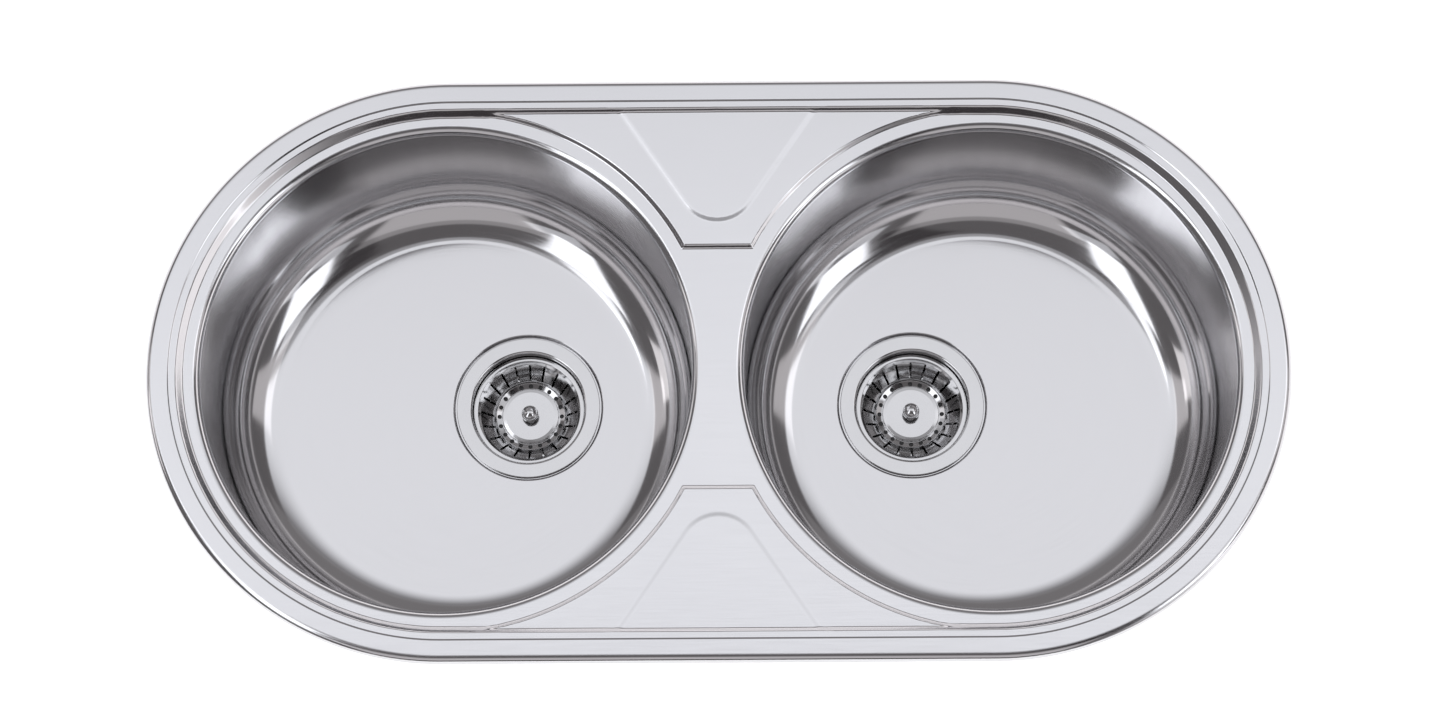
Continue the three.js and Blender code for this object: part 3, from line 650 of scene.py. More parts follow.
# ---- Sound pads ----------------------------------------------------------------------------
# A sheet of bitumen is glued under each floor to deaden the noise of running water.
# It has cut, rounded corners and a slightly pebbled skin.
PAD_CORNER = 15.0
PAD_EDGE = 0.8
PAD_BORDER = 9.6


def sound_pad(name, node):
    low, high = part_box(node)
    half_x, half_y = (high.x - low.x) / 2 / MM, (high.y - low.y) / 2 / MM
    thickness = (high.z - low.z) / MM
    section = rounded([(0, thickness, 0), (1, thickness, 0), (1, 0, PAD_EDGE), (0, 0, 0)])
    rings = []
    corner_steps = 8
    for share, height in section:
        inset = PAD_BORDER * (1 - share)
        corner = PAD_CORNER - inset
        ring = []
        for quarter, (sign_x, sign_y) in enumerate(((1, 1), (-1, 1), (-1, -1), (1, -1))):
            centre_x, centre_y = sign_x * (half_x - PAD_CORNER), sign_y * (half_y - PAD_CORNER)
            for step in range(corner_steps + 1):
                angle = math.pi / 2 * (quarter + step / corner_steps)
                x, y = centre_x + corner * math.cos(angle), centre_y + corner * math.sin(angle)
                ring.append((x, y, height))
        rings.append(ring)
    points, faces = [], []
    ring_faces(points, faces, rings)
    steps = len(rings[0])
    faces.append(list(range(steps)))
    faces.append(list(range(len(points) - steps, len(points))))
    pad = welded(mesh_object(name, points, faces), recalculate=True)
    pad.location = ((low.x + high.x) / 2, (low.y + high.y) / 2, low.z)
    return smooth(pad)


def pebbled_bitumen():
    """Matt black bitumen with a pebbled skin."""
    return patterned(
        "pebbled_bitumen", metallic=0.0, coarse=((60, 60, 60), 4.0), fine=420.0,
        colours=((0.022, 0.021, 0.02), (0.05, 0.048, 0.045)), roughness=(0.85, 0.85), relief=(0.5, 0.3),
    )


bitumen = pebbled_bitumen()
for side_name, side in SIDES:
    pad_node = f"sound_pad_{side_name}"
    dressed(sound_pad(f"bitumen_pad_{side_name}", pad_node), bitumen, "sink", "bitumen", pad_node)

# ---- Rim seal ------------------------------------------------------------------------------
# A strip of soft closed-cell foam, stuck inside the turned-down rim, that seals it to the worktop.
SEAL_CORNER = 1.6
SEAL_EDGE = 0.4
SEAL_WIDTH = 6.5


def rim_seal():
    low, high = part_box("rim_seal")
    outer = high.y / MM
    inner = outer - SEAL_WIDTH
    top = high.z / MM
    section = rounded([
        (inner, 0, SEAL_CORNER), (outer, 0, SEAL_CORNER), (outer, top, SEAL_EDGE), (inner, top, SEAL_EDGE),
    ], closed=True)
    arc_steps = ROUND_STEPS // 2
    stations = []
    for side in (1, -1):
        for step in range(arc_steps + 1):
            angle = (0 if side > 0 else math.pi) + (step / arc_steps - 0.5) * math.pi
            stations.append((side * bowl_centre, angle))
    points, faces = [], []
    for centre, angle in stations:
        points += [(centre + r * math.cos(angle), r * math.sin(angle), z) for r, z in section]
    width = len(section)
    for station in range(len(stations)):
        for point in range(width):
            here, there = station * width, (station + 1) % len(stations) * width
            after = (point + 1) % width
            faces.append((here + point, there + point, there + after, here + after))
    return smooth(welded(mesh_object("foam_strip", points, faces), recalculate=True))


def cellular_foam():
    """Dark closed-cell foam with open pores on its cut faces."""
    return patterned(
        "cellular_foam", metallic=0.0, coarse=1400.0, fine=1400.0,
        colours=((0.03, 0.03, 0.032), (0.11, 0.11, 0.115)), roughness=(0.95, 0.95), relief=(0.4, 0.2),
    )


dressed(rim_seal(), cellular_foam(), "sink", "foam", "rim_seal")

# ---- Clips ---------------------------------------------------------------------------------
# Eight clips hold the sink down. Each is a bent steel bracket welded under the land with a nut on its tail,
# a hexagon screw that is driven from below, and a claw that swivels out and bites under the worktop.
# All three are zinc plated.
BRACKET_STEEL = 2.0
BRACKET_BEND = 3.0
BRACKET_WIDTH = 22.0
BRACKET_TAIL = 6.5
WELD_MARGIN = 0.5
CLIP_FROM_SLOPE = 8.5
NUT_RADIUS = 5.5
NUT_HEIGHT = 5.0
SCREW_RADIUS = 3.0
SCREW_PITCH = 1.0
SCREW_HEAD_RADIUS = 5.8
SCREW_HEAD_HEIGHT = 4.0
SCREW_PLAIN_LENGTH = 5.0
SLOT_CUT = (1.2, 1.4)
THREAD_DEPTH = 0.5
THREAD_ROWS_PER_TURN = 6
CLAW_WIDTH = 14.0
CLAW_THICKNESS = 3.0
CLAW_REACH = 32.0
CLAW_TOOTH = 8.0
RUNNING_GAP = 0.3
EDGE_BREAK = 0.35
FITTING_STEPS = 48
SCREW_STEPS = 32
CLIP_ANGLES = [math.radians(angle) for angle in (-75, -25, 25, 75)]

clip_radius = slope_foot + CLIP_FROM_SLOPE
bracket_foot, bracket_top = (corner.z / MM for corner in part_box("clip_bracket_right_3"))
screw_foot, screw_top = (corner.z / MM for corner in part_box("clip_screw_right_3"))
claw_foot, tooth_top = (corner.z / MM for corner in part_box("clip_claw_right_3"))


def turned(name, outline, steps=FITTING_STEPS, radius_at=None):
    """Turns an outline of [radius, height] about Z. Points on the axis close the piece."""
    rings = []
    for radius, height in outline:
        ring = []
        for step in range(steps):
            angle = 2 * math.pi * step / steps
            reach = radius_at(radius, height, angle) if radius_at else radius
            ring.append((reach * math.cos(angle), reach * math.sin(angle), height))
        rings.append(ring)
    points, faces = [], []
    closed_outline = outline[0][0] > 0 and outline[-1][0] > 0
    if closed_outline:
        rings.append(rings[0])
    ring_faces(points, faces, rings)
    return welded(mesh_object(name, points, faces), recalculate=True)


def hexagon(corner_radius):
    """Keeps a turned outline inside a hexagon."""
    def radius_at(radius, height, angle):
        flat = corner_radius * math.cos(math.pi / 6)
        turn = (angle + math.pi / 6) % (math.pi / 3) - math.pi / 6
        return min(radius, flat / math.cos(turn))
    return radius_at


def thread(crest, depth, pitch, foot, top):
    """Cuts a helical groove into a turned outline between two heights."""
    def radius_at(radius, height, angle):
        if radius < crest - depth or not foot < height < top:
            return radius
        phase = (height / pitch - angle / (2 * math.pi)) % 1.0
        return min(radius, crest - depth * abs(2 * phase - 1))
    return radius_at


def thread_rows(crest, pitch, foot, top):
    """Outline rows that are close enough to carry a thread."""
    count = math.ceil((top - foot) / pitch * THREAD_ROWS_PER_TURN)
    return [(crest, foot + (top - foot) * row / count) for row in range(count + 1)]


def joined(name, *pieces):
    """Puts the meshes of several pieces into one."""
    shape = bmesh.new()
    for piece in pieces:
        piece.data.transform(piece.matrix_basis)
        shape.from_mesh(piece.data)
        bpy.data.objects.remove(piece)
    mesh = bpy.data.meshes.new(name)
    shape.to_mesh(mesh)
    shape.free()
    whole = bpy.data.objects.new(name, mesh)
    bpy.context.collection.objects.link(whole)
    return whole


def combined(piece, tool, operation):
    """Cuts a tool out of a piece, or adds it."""
    cut = piece.modifiers.new("cut", "BOOLEAN")
    cut.operation = operation
    cut.solver = "EXACT"
    cut.object = tool
    applied(piece)
    bpy.data.objects.remove(tool)
    return piece


def prism(name, near, far):
    """A straight-sided piece between two matching outlines."""
    count = len(near)
    faces = [list(range(count)), list(range(2 * count - 1, count - 1, -1))]
    faces += [(i, (i + 1) % count, count + (i + 1) % count, count + i) for i in range(count)]
    return welded(mesh_object(name, near + far, faces), recalculate=True)


def extruded(name, outline, width):
    """A bar with an outline of [x, z] and a width along Y."""
    near, far = ([(x, y, z) for x, z in outline] for y in (-width / 2, width / 2))
    return prism(name, near, far)


def broken_edges(piece, width=EDGE_BREAK):
    """Rounds the sharp edges of a cut or sheared piece."""
    bevel = piece.modifiers.new("edges", "BEVEL")
    bevel.width = width * MM
    bevel.segments = 2
    bevel.limit_method = "ANGLE"
    bevel.angle_limit = SHARP_ANGLE
    return applied(piece)


def drilled(piece, foot, top):
    """Drills the screw's running hole up through a piece."""
    hole, beyond = SCREW_RADIUS + RUNNING_GAP, 2.0
    drill = turned("drill", [
        (0, foot - beyond), (hole, foot - beyond), (hole, top + beyond), (0, top + beyond),
    ])
    return combined(piece, drill, "DIFFERENCE")


def clip_bracket():
    top, foot = bracket_top, bracket_foot
    back = mouth_radius + WELD_MARGIN - clip_radius
    weld_end = slope_foot - WELD_MARGIN - clip_radius
    inner_bend = BRACKET_BEND - BRACKET_STEEL
    outline = rounded([
        (weld_end, top, 0), (back, top, BRACKET_BEND), (back, foot, BRACKET_BEND), (BRACKET_TAIL, foot, 0),
        (BRACKET_TAIL, foot + BRACKET_STEEL, 0), (back + BRACKET_STEEL, foot + BRACKET_STEEL, inner_bend),
        (back + BRACKET_STEEL, top - BRACKET_STEEL, inner_bend), (weld_end, top - BRACKET_STEEL, 0),
    ], closed=True)
    bracket = broken_edges(extruded("bracket", outline, BRACKET_WIDTH))
    nut_foot = foot + BRACKET_STEEL / 2
    nut_top = foot + BRACKET_STEEL + NUT_HEIGHT
    chamfer = 0.7
    nut = turned("nut", [
        (0, nut_foot), (NUT_RADIUS, nut_foot), (NUT_RADIUS, nut_top - chamfer),
        (NUT_RADIUS - chamfer * 1.6, nut_top), (0, nut_top),
    ], FITTING_STEPS * 2, hexagon(NUT_RADIUS))
    return smooth(drilled(combined(bracket, nut, "UNION"), foot, nut_top))


def clip_screw():
    foot, top = screw_foot, screw_top
    head_top = foot + SCREW_HEAD_HEIGHT
    radius = SCREW_HEAD_RADIUS
    chamfer = 0.6
    head = turned("head", [
        (0, foot), (radius - 1.5 * chamfer, foot), (radius, foot + chamfer),
        (radius, head_top), (0, head_top),
    ], FITTING_STEPS * 2, hexagon(radius))
    slot_width, slot_depth = SLOT_CUT
    slot = extruded("slot", [
        (-radius, foot - 1), (radius, foot - 1), (radius, foot + slot_depth), (-radius, foot + slot_depth),
    ], slot_width)
    head = combined(head, slot, "DIFFERENCE")
    thread_foot = head_top + SCREW_PLAIN_LENGTH
    rows = [(0, head_top - 1), (SCREW_RADIUS, head_top - 1), (SCREW_RADIUS, thread_foot)]
    rows += thread_rows(SCREW_RADIUS, SCREW_PITCH, thread_foot + 0.1, top - 1.0)
    rows += [(SCREW_RADIUS - 0.5, top - 0.5), (SCREW_RADIUS - 1.0, top), (0, top)]
    cut = thread(SCREW_RADIUS, THREAD_DEPTH, SCREW_PITCH, thread_foot, top - 0.9)
    shank = turned("shank", rows, SCREW_STEPS, cut)
    return smooth(joined("screw", head, shank))


def clip_claw():
    foot, plate_top = claw_foot, claw_foot + CLAW_THICKNESS
    half = CLAW_WIDTH / 2
    round_steps = 12
    outline = [(-half, -CLAW_REACH), (half, -CLAW_REACH)]
    outline += [
        (half * math.cos(math.pi * step / round_steps), half * math.sin(math.pi * step / round_steps))
        for step in range(round_steps + 1)
    ]
    near, far = ([(x, y, z) for x, y in outline] for z in (foot, plate_top))
    plate = prism("plate", near, far)
    serration, teeth = 0.9, 4
    ridge = [(-CLAW_REACH, foot), (-CLAW_REACH, tooth_top)]
    for tooth in range(1, teeth):
        middle = -CLAW_REACH + tooth * CLAW_TOOTH / teeth
        ridge += [(middle - serration / 2, tooth_top), (middle, tooth_top - serration / 2)]
        ridge += [(middle + serration / 2, tooth_top)]
    ridge += [(CLAW_TOOTH - CLAW_REACH, tooth_top), (CLAW_TOOTH - CLAW_REACH, foot)]
    tooth = extruded("tooth", ridge, CLAW_WIDTH)
    tooth.data.transform(Matrix.Rotation(math.pi / 2, 4, "Z"))
    claw = drilled(combined(plate, tooth, "UNION"), foot, plate_top)
    return smooth(broken_edges(claw, 0.3))


def zinc_plating():
    """Bright zinc plating over sheared steel, with a cloudy passivated film."""
    return patterned(
        "zinc_plating", metallic=1.0, coarse=((140, 140, 140), 3.0), fine=((1500, 1500, 1500), 2.0),
        colours=((0.58, 0.59, 0.6), (0.74, 0.75, 0.76)),
        roughness=(0.26, 0.5), relief=(0.08, 0.05), rough_by="coarse",
    )


def copy_of(master, name):
    """Another piece with the same mesh and modifiers."""
    twin = master.copy()
    twin.name = name
    bpy.context.collection.objects.link(twin)
    return twin


zinc = zinc_plating()
clip_masters = {"bracket": clip_bracket(), "screw": clip_screw(), "claw": clip_claw()}
for side_name, side in SIDES:
    for number, angle in enumerate(CLIP_ANGLES, start=1):
        turn = angle + (math.pi if side < 0 else 0)
        axis_place = (
            side * bowl_x + clip_radius * MM * math.cos(turn), clip_radius * MM * math.sin(turn), 0,
        )
        bodies = {
            "bracket": "sink",
            "screw": f"clamp_screw_{side_name}_{number}",
            "claw": f"claw_{side_name}_{number}",
        }
        for kind, master in clip_masters.items():
            piece = copy_of(master, f"steel_{kind}_{side_name}_{number}")
            piece.matrix_world = Matrix.Translation(axis_place) @ Matrix.Rotation(turn, 4, "Z")
            dressed(piece, zinc, bodies[kind], "fitting_steel", f"clip_{kind}_{side_name}_{number}")
for master in clip_masters.values():
    bpy.data.objects.remove(master)

# ---- Waste: cup, gaskets, body and centre screw --------------------------------------------
# The flange and cup are one polished pressing that hangs in the hole. Rubber gaskets seal it above and
# below the floor, and a hollow screw through its middle pulls up the moulded body with the outlet.
# Heights are measured from the top of the recess.
CUP_SHEET = 1.0
FLANGE_TOP = 2.5
FLANGE_EDGE = 0.6
CUP_ROUND = 2.0
CUP_FOOT_RADIUS = 36.0
CUP_FILLET = 3.0
LEDGE_DEPTH = 11.0
LEDGE_WIDTH = 3.0
LEDGE_FILLET = 0.8
OUTLET_COUNT = 6
OUTLET_INNER = 13.0
OUTLET_OUTER = 23.0
OUTLET_SPAN = math.radians(42)
OUTLET_CORNER = 2.0
OUTLET_MARGIN = 1.5
UPPER_GASKET = 1.5
LOWER_GASKET = 2.0
GASKET_MARGIN = 1.5
GASKET_EDGE = 0.5
CENTRE_SCREW_RADIUS = 5.5
CENTRE_SCREW_LENGTH = 20.0
CENTRE_SCREW_PITCH = 1.25
CENTRE_SCREW_THREAD = 0.6
CENTRE_HEAD_RADIUS = 8.0
CENTRE_HEAD_HEIGHT = 1.8
SOCKET_RADIUS = 3.6
SOCKET_DEPTH = 7.0
BODY_WALL = 3.0
BODY_CLEARANCE = 2.0
BODY_FLANGE = 4.0
OUTER_RIBS = 8
OUTER_RIB_WIDTH = 2.5
RIB_BITE = 1.0
RIB_SETBACK = 2.0
BOSS_RADIUS = 10.0
SPIDER_ARMS = 4
SPIDER_RIB = 4.0
SPIDER_HEIGHT = 12.0
SPIGOT_BORE = 20.0
SPIGOT_LENGTH = 24.0
SPIGOT_PITCH = 2.5
SPIGOT_THREAD = 0.9
WASTE_STEPS = 120
SMALL_STEPS = 64

cup_floor = (flange_low.z / MM - recess_top) + CUP_SHEET
ledge_top = FLANGE_TOP - LEDGE_DEPTH
ledge_radius = CUP_RADIUS - LEDGE_WIDTH
screw_hole = CENTRE_SCREW_RADIUS + RUNNING_GAP
spider_top = cup_floor - CUP_SHEET
spider_foot = spider_top - SPIDER_HEIGHT


def perforated(name, rows, sectors, open_steps, fine_steps, thickness):
    """A turned sheet with an opening in each sector, given rows of (radius, height, half angle, is open)."""
    pitch = 2 * math.pi / sectors
    rings = []
    for radius, height, half_angle, _ in rows:
        ring = []
        for sector in range(sectors):
            start = pitch * sector
            for step in range(open_steps):
                ring.append(start - half_angle + 2 * half_angle * step / open_steps)
            for step in range(fine_steps):
                ring.append(start + half_angle + (pitch - 2 * half_angle) * step / fine_steps)
        rings.append([(radius * math.cos(a), radius * math.sin(a), height) for a in ring])
    points = [point for ring in rings for point in ring]
    width = len(rings[0])
    sector_width = open_steps + fine_steps
    faces = []
    for row in range(len(rows) - 1):
        both_open = rows[row][3] and rows[row + 1][3]
        for column in range(width):
            if both_open and column % sector_width < open_steps:
                continue
            here, after = row * width, (column + 1) % width
            faces.append((here + column, here + after, here + width + after, here + width + column))
    return smooth(thickened(welded(mesh_object(name, points, faces), 0.001 * MM), thickness * MM))


def opening_half(distance_in, corner, half_angle, radius):
    """Half angle of an opening with round corners, `distance_in` from its nearer end."""
    if distance_in >= corner:
        return half_angle
    drop = corner - math.sqrt(max(corner ** 2 - (corner - distance_in) ** 2, 0.0))
    return half_angle - drop / radius


def flange_cup():
    outline = rounded([
        (flange_radius, RUNNING_GAP, 0),
        (flange_radius, FLANGE_TOP, FLANGE_EDGE),
        (CUP_RADIUS, FLANGE_TOP, CUP_ROUND),
        (CUP_RADIUS, ledge_top, LEDGE_FILLET),
        (ledge_radius, ledge_top, LEDGE_FILLET),
        (CUP_FOOT_RADIUS, cup_floor, CUP_FILLET),
        (OUTLET_OUTER + OUTLET_MARGIN, cup_floor, 0),
    ])
    half = OUTLET_SPAN / 2
    rows = [(r, z, half, False) for r, z in outline]
    ends = [0.0, 0.3, 0.8, 1.4, OUTLET_CORNER]
    depths = [(OUTLET_OUTER - d, d) for d in ends] + [(OUTLET_INNER + d, d) for d in reversed(ends)]
    for radius, depth in depths:
        rows.append((radius, cup_floor, opening_half(depth, OUTLET_CORNER, half, radius), True))
    hub = [(OUTLET_INNER - 1.0, cup_floor), (screw_hole, cup_floor)]
    rows += [(r, z, half, False) for r, z in hub]
    return perforated("cup", rows, OUTLET_COUNT, open_steps=12, fine_steps=8, thickness=CUP_SHEET)


def flat_ring(name, inner, outer, foot, top, edges, steps):
    """A turned ring with a flat section, given its edges' roundness inside and outside."""
    inside, outside = edges
    outline = [(inner, foot, inside), (outer, foot, outside), (outer, top, outside), (inner, top, inside)]
    return smooth(turned(name, rounded(outline, closed=True), steps))


def gasket(name, foot, top):
    inner = hole_radius + GASKET_MARGIN
    outer = flange_radius - CUP_SHEET - GASKET_MARGIN
    return flat_ring(name, inner, outer, foot, top, (GASKET_EDGE, GASKET_EDGE), WASTE_STEPS)


def ribs(name, outline, width, edge, count):
    """Ribs of one outline, set evenly round the axis."""
    row = []
    for number in range(count):
        rib = broken_edges(extruded(name, outline, width), edge)
        rib.data.transform(Matrix.Rotation(2 * math.pi * number / count, 4, "Z"))
        row.append(rib)
    return row


def waste_body():
    """Funnel with its flange, stiffening ribs outside, and the spider with the screw's boss inside."""
    bore_top = CUP_RADIUS + CUP_SHEET + BODY_CLEARANCE
    bore_foot = CUP_FOOT_RADIUS + CUP_SHEET + BODY_CLEARANCE
    outer_top, outer_foot = bore_top + BODY_WALL, bore_foot + BODY_WALL
    narrow_top = spider_top - CUP_SHEET
    body_top = -SHEET / MM - LOWER_GASKET
    flange_foot = body_top - BODY_FLANGE
    ledge_level = ledge_top - LEDGE_WIDTH - BODY_CLEARANCE
    shell = turned("shell", rounded([
        (SPIGOT_BORE, spider_foot, 0.2), (SPIGOT_BORE + BODY_WALL, spider_foot, 1.0),
        (outer_foot, narrow_top, 4.0), (outer_top, ledge_level, 3.0),
        (outer_top, flange_foot, 1.5), (recess_foot, flange_foot, 0.8),
        (recess_foot, body_top, 0.4), (bore_top, body_top, 0.5),
        (bore_top, ledge_level, 2.0), (bore_foot, narrow_top, 3.0),
    ], closed=True), WASTE_STEPS)
    rib_outline = [
        (outer_foot - 2 * RIB_BITE, narrow_top), (outer_top - RIB_BITE, ledge_level),
        (outer_top - RIB_BITE, flange_foot + RIB_BITE), (recess_foot - RIB_SETBACK, flange_foot + RIB_BITE),
        (recess_foot - RIB_SETBACK, flange_foot - RIB_SETBACK), (outer_foot + 1.5, narrow_top + 2),
    ]
    parts = [shell, *ribs("rib", rib_outline, OUTER_RIB_WIDTH, 0.4, OUTER_RIBS)]
    parts.append(turned("boss", rounded([
        (screw_hole, spider_foot, 0.4), (BOSS_RADIUS, spider_foot, 0.8),
        (BOSS_RADIUS, spider_top, 0.5), (screw_hole, spider_top, 0.3),
    ], closed=True), WASTE_STEPS))
    arm_top = (spider_foot + spider_top) / 2
    arm_outline = [
        (BOSS_RADIUS - RIB_BITE, spider_foot), (SPIGOT_BORE + RIB_BITE, spider_foot),
        (SPIGOT_BORE + RIB_BITE, arm_top), (BOSS_RADIUS - RIB_BITE, arm_top),
    ]
    parts += ribs("arm", arm_outline, SPIDER_RIB, 0.5, SPIDER_ARMS)
    return smooth(joined("body", *parts))


def waste_spigot():
    """Threaded outlet that is butt welded to the funnel's foot."""
    radius, foot, top = SPIGOT_BORE + BODY_WALL, spider_foot - SPIGOT_LENGTH, spider_foot - RUNNING_GAP
    thread_foot, thread_top = foot + 1.5, top - 2.5
    outline = rounded([
        (SPIGOT_BORE, foot, 0), (radius - 0.8, foot, 0.3), (radius - 0.4, thread_foot - 0.4, 0),
    ])
    outline += thread_rows(radius, SPIGOT_PITCH, thread_foot, thread_top)
    outline += rounded([(radius, thread_top + 0.2, 0), (radius, top, 0.4), (SPIGOT_BORE, top, 0)])
    cut = thread(radius, SPIGOT_THREAD, SPIGOT_PITCH, thread_foot - 0.2, thread_top + 0.1)
    return smooth(turned("spigot", outline, WASTE_STEPS, cut))


def centre_screw():
    head_top = cup_floor + CENTRE_HEAD_HEIGHT
    foot = head_top - CENTRE_SCREW_LENGTH
    socket_foot = head_top - SOCKET_DEPTH
    rows = [(0, foot), (CENTRE_SCREW_RADIUS - 0.9, foot), (CENTRE_SCREW_RADIUS - 0.2, foot + 0.7)]
    rows += thread_rows(CENTRE_SCREW_RADIUS, CENTRE_SCREW_PITCH, foot + 0.8, cup_floor - 3.0)
    rows += rounded([
        (CENTRE_SCREW_RADIUS, cup_floor - 2.9, 0), (CENTRE_SCREW_RADIUS, cup_floor, 0.2),
        (CENTRE_HEAD_RADIUS, cup_floor, 0.3), (CENTRE_HEAD_RADIUS, head_top, 1.2),
        (SOCKET_RADIUS, head_top, 0.4), (SOCKET_RADIUS, socket_foot, 0.5), (0, socket_foot, 0),
    ])
    cut = thread(
        CENTRE_SCREW_RADIUS, CENTRE_SCREW_THREAD, CENTRE_SCREW_PITCH, foot + 0.7, cup_floor - 2.95,
    )
    return smooth(turned("centre", rows, SMALL_STEPS, cut))


def polished_steel():
    """Bright polished stainless steel with the finest turning marks."""
    return patterned(
        "polished_steel", metallic=1.0, coarse=((35, 35, 35), 3.0), fine=((300, 300, 1600), 3.0),
        colours=((0.64, 0.64, 0.645), (0.68, 0.68, 0.685)), roughness=(0.06, 0.11), relief=(0.04, 0.03),
    )


def black_rubber():
    """Soft black rubber with a dull moulded skin and a little bloom."""
    return patterned(
        "black_rubber", metallic=0.0, coarse=((90, 90, 90), 4.0), fine=((1800, 1800, 1800), 2.0),
        colours=((0.014, 0.014, 0.015), (0.035, 0.035, 0.037)),
        roughness=(0.5, 0.75), relief=(0.15, 0.05), rough_by="coarse",
    )


def moulded_plastic():
    """Grey moulded polypropylene with a fine eroded texture."""
    return patterned(
        "moulded_plastic", metallic=0.0, coarse=((40, 40, 90), 3.0), fine=((2200, 2200, 2200), 2.0),
        colours=((0.3, 0.305, 0.31), (0.36, 0.365, 0.37)), roughness=(0.42, 0.6), relief=(0.12, 0.05),
    )


def set_in_both_bowls(masters, lifts_out=False):
    """Sets each piece of (master, material, slot, node) at its place in either bowl."""
    for side_name, side in SIDES:
        body = f"strainer_{side_name}" if lifts_out else "sink"
        for master, material, slot, node in masters:
            piece = copy_of(master, f"{master.name}_{side_name}")
            piece.location = (side * waste_x, waste_y, recess_top * MM)
            dressed(piece, material, body, slot, f"{node}_{side_name}")
    for master, *_ in masters:
        bpy.data.objects.remove(master)


polished, rubber, plastic = polished_steel(), black_rubber(), moulded_plastic()
lower_top = -SHEET / MM
set_in_both_bowls([
    (flange_cup(), polished, "polished_steel", "flange_cup"),
    (gasket("upper_washer", 0.0, UPPER_GASKET), rubber, "rubber", "upper_gasket"),
    (gasket("lower_washer", lower_top - LOWER_GASKET, lower_top), rubber, "rubber", "lower_gasket"),
    (waste_body(), plastic, "plastic", "waste_body"),
    (waste_spigot(), plastic, "plastic", "waste_spigot"),
    (centre_screw(), zinc, "fitting_steel", "centre_screw"),
])

# ---- Basket strainer -----------------------------------------------------------------------
# The basket lifts out by its knob. It is pressed from thin polished steel, with a ring of holes round its
# raised disc and slots up its flared wall, and carries a rubber plug on a stem that seals the cup.
BASKET_SHEET = 0.7
BASKET_LIP = 2.8
BASKET_FOOT_RADIUS = 26.0
DISC_RADIUS = 22.0
DISC_RISE = 2.7
GROOVE_SLOPE = 0.3
HOLE_COUNT = 20
STRAINER_HOLE = 1.7
SLOT_WIDTH = 1.8
SLOT_MARGIN = 2.2
PLUG_THICKNESS = 3.7
PLUG_RADIUS = 26.5
PLUG_ROOF = 1.1
PLUG_HOLLOW = 11.0
STEM_RADIUS = 2.2
STEM_RISE = 7.0
WASHER_RADIUS = 7.5
WASHER_THICKNESS = 0.8
KNOB_NECK = 4.0

basket_low, basket_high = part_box("basket_right")
basket_radius = (basket_high.x - basket_low.x) / 2 / MM
basket_top = basket_high.z / MM - recess_top
plug_foot = cup_floor + RUNNING_GAP
plug_top = plug_foot + PLUG_THICKNESS
groove_top = plug_top + BASKET_SHEET
disc_top = groove_top + DISC_RISE
disc_underside = disc_top - BASKET_SHEET
stem_hole = STEM_RADIUS + RUNNING_GAP
washer_top = plug_top - PLUG_ROOF
washer_foot = washer_top - WASHER_THICKNESS
stem_top = disc_top + STEM_RISE


def basket():
    wall_top = basket_radius - BASKET_LIP
    groove_inner = DISC_RADIUS + BASKET_SHEET
    groove_middle = (groove_inner + BASKET_FOOT_RADIUS) / 2
    half_slot = SLOT_WIDTH / 2
    wall_run = wall_top - BASKET_FOOT_RADIUS
    slot_from = BASKET_FOOT_RADIUS + SLOT_MARGIN
    slot_to = BASKET_FOOT_RADIUS + wall_run - SLOT_MARGIN
    wall_slope = (basket_top - BASKET_SHEET - groove_top) / (wall_top - BASKET_SHEET - BASKET_FOOT_RADIUS)
    groove_outer = wall_slope * BASKET_FOOT_RADIUS - GROOVE_SLOPE * groove_inner
    groove_outer /= wall_slope - GROOVE_SLOPE

    def wall_height(radius):
        return groove_top + (radius - BASKET_FOOT_RADIUS) * wall_slope

    def groove_height(radius):
        return groove_top + (radius - groove_inner) * GROOVE_SLOPE

    rim = rounded([
        (basket_radius, basket_top - 0.5, 0), (basket_radius, basket_top, 0.3),
        (wall_top, basket_top, 0.6), (slot_to + 0.5, wall_height(slot_to + 0.5), 0),
    ])
    rows = [(r, z, half_slot / r, False) for r, z in rim]
    ends = [0.0, 0.1, 0.3, 0.6, half_slot]
    stations = [(slot_to - d, d) for d in ends] + [(slot_from + d, d) for d in reversed(ends)]
    for radius, distance in stations:
        half = math.sqrt(max(half_slot ** 2 - (half_slot - distance) ** 2, 0.0)) / radius
        rows.append((radius, wall_height(radius), half, True))
    foot = rounded([
        (slot_from - 0.5, wall_height(slot_from - 0.5), 0), (groove_outer, groove_height(groove_outer), 0.8),
        (groove_middle + STRAINER_HOLE + 0.1, groove_height(groove_middle + STRAINER_HOLE + 0.1), 0),
    ])
    rows += [(r, z, half_slot / r, False) for r, z in foot]
    hole_steps = 10
    for step in range(hole_steps + 1):
        angle = math.pi * step / hole_steps
        radius = groove_middle + STRAINER_HOLE * math.cos(angle)
        rows.append((radius, groove_height(radius), STRAINER_HOLE * math.sin(angle) / radius, True))
    disc = rounded([
        (groove_middle - STRAINER_HOLE - 0.05, groove_height(groove_middle - STRAINER_HOLE), 0),
        (DISC_RADIUS + 0.3, groove_top, 0.1), (DISC_RADIUS, disc_top - 0.3, 0.8),
        (DISC_RADIUS - 3, disc_top, 1.2), (stem_hole, disc_top, 0),
    ])
    line_half, least_radius = 1.2, 12.0
    rows += [(r, z, line_half / max(r, least_radius), False) for r, z in disc]
    return perforated("strainer", rows, HOLE_COUNT, open_steps=2, fine_steps=6, thickness=BASKET_SHEET)


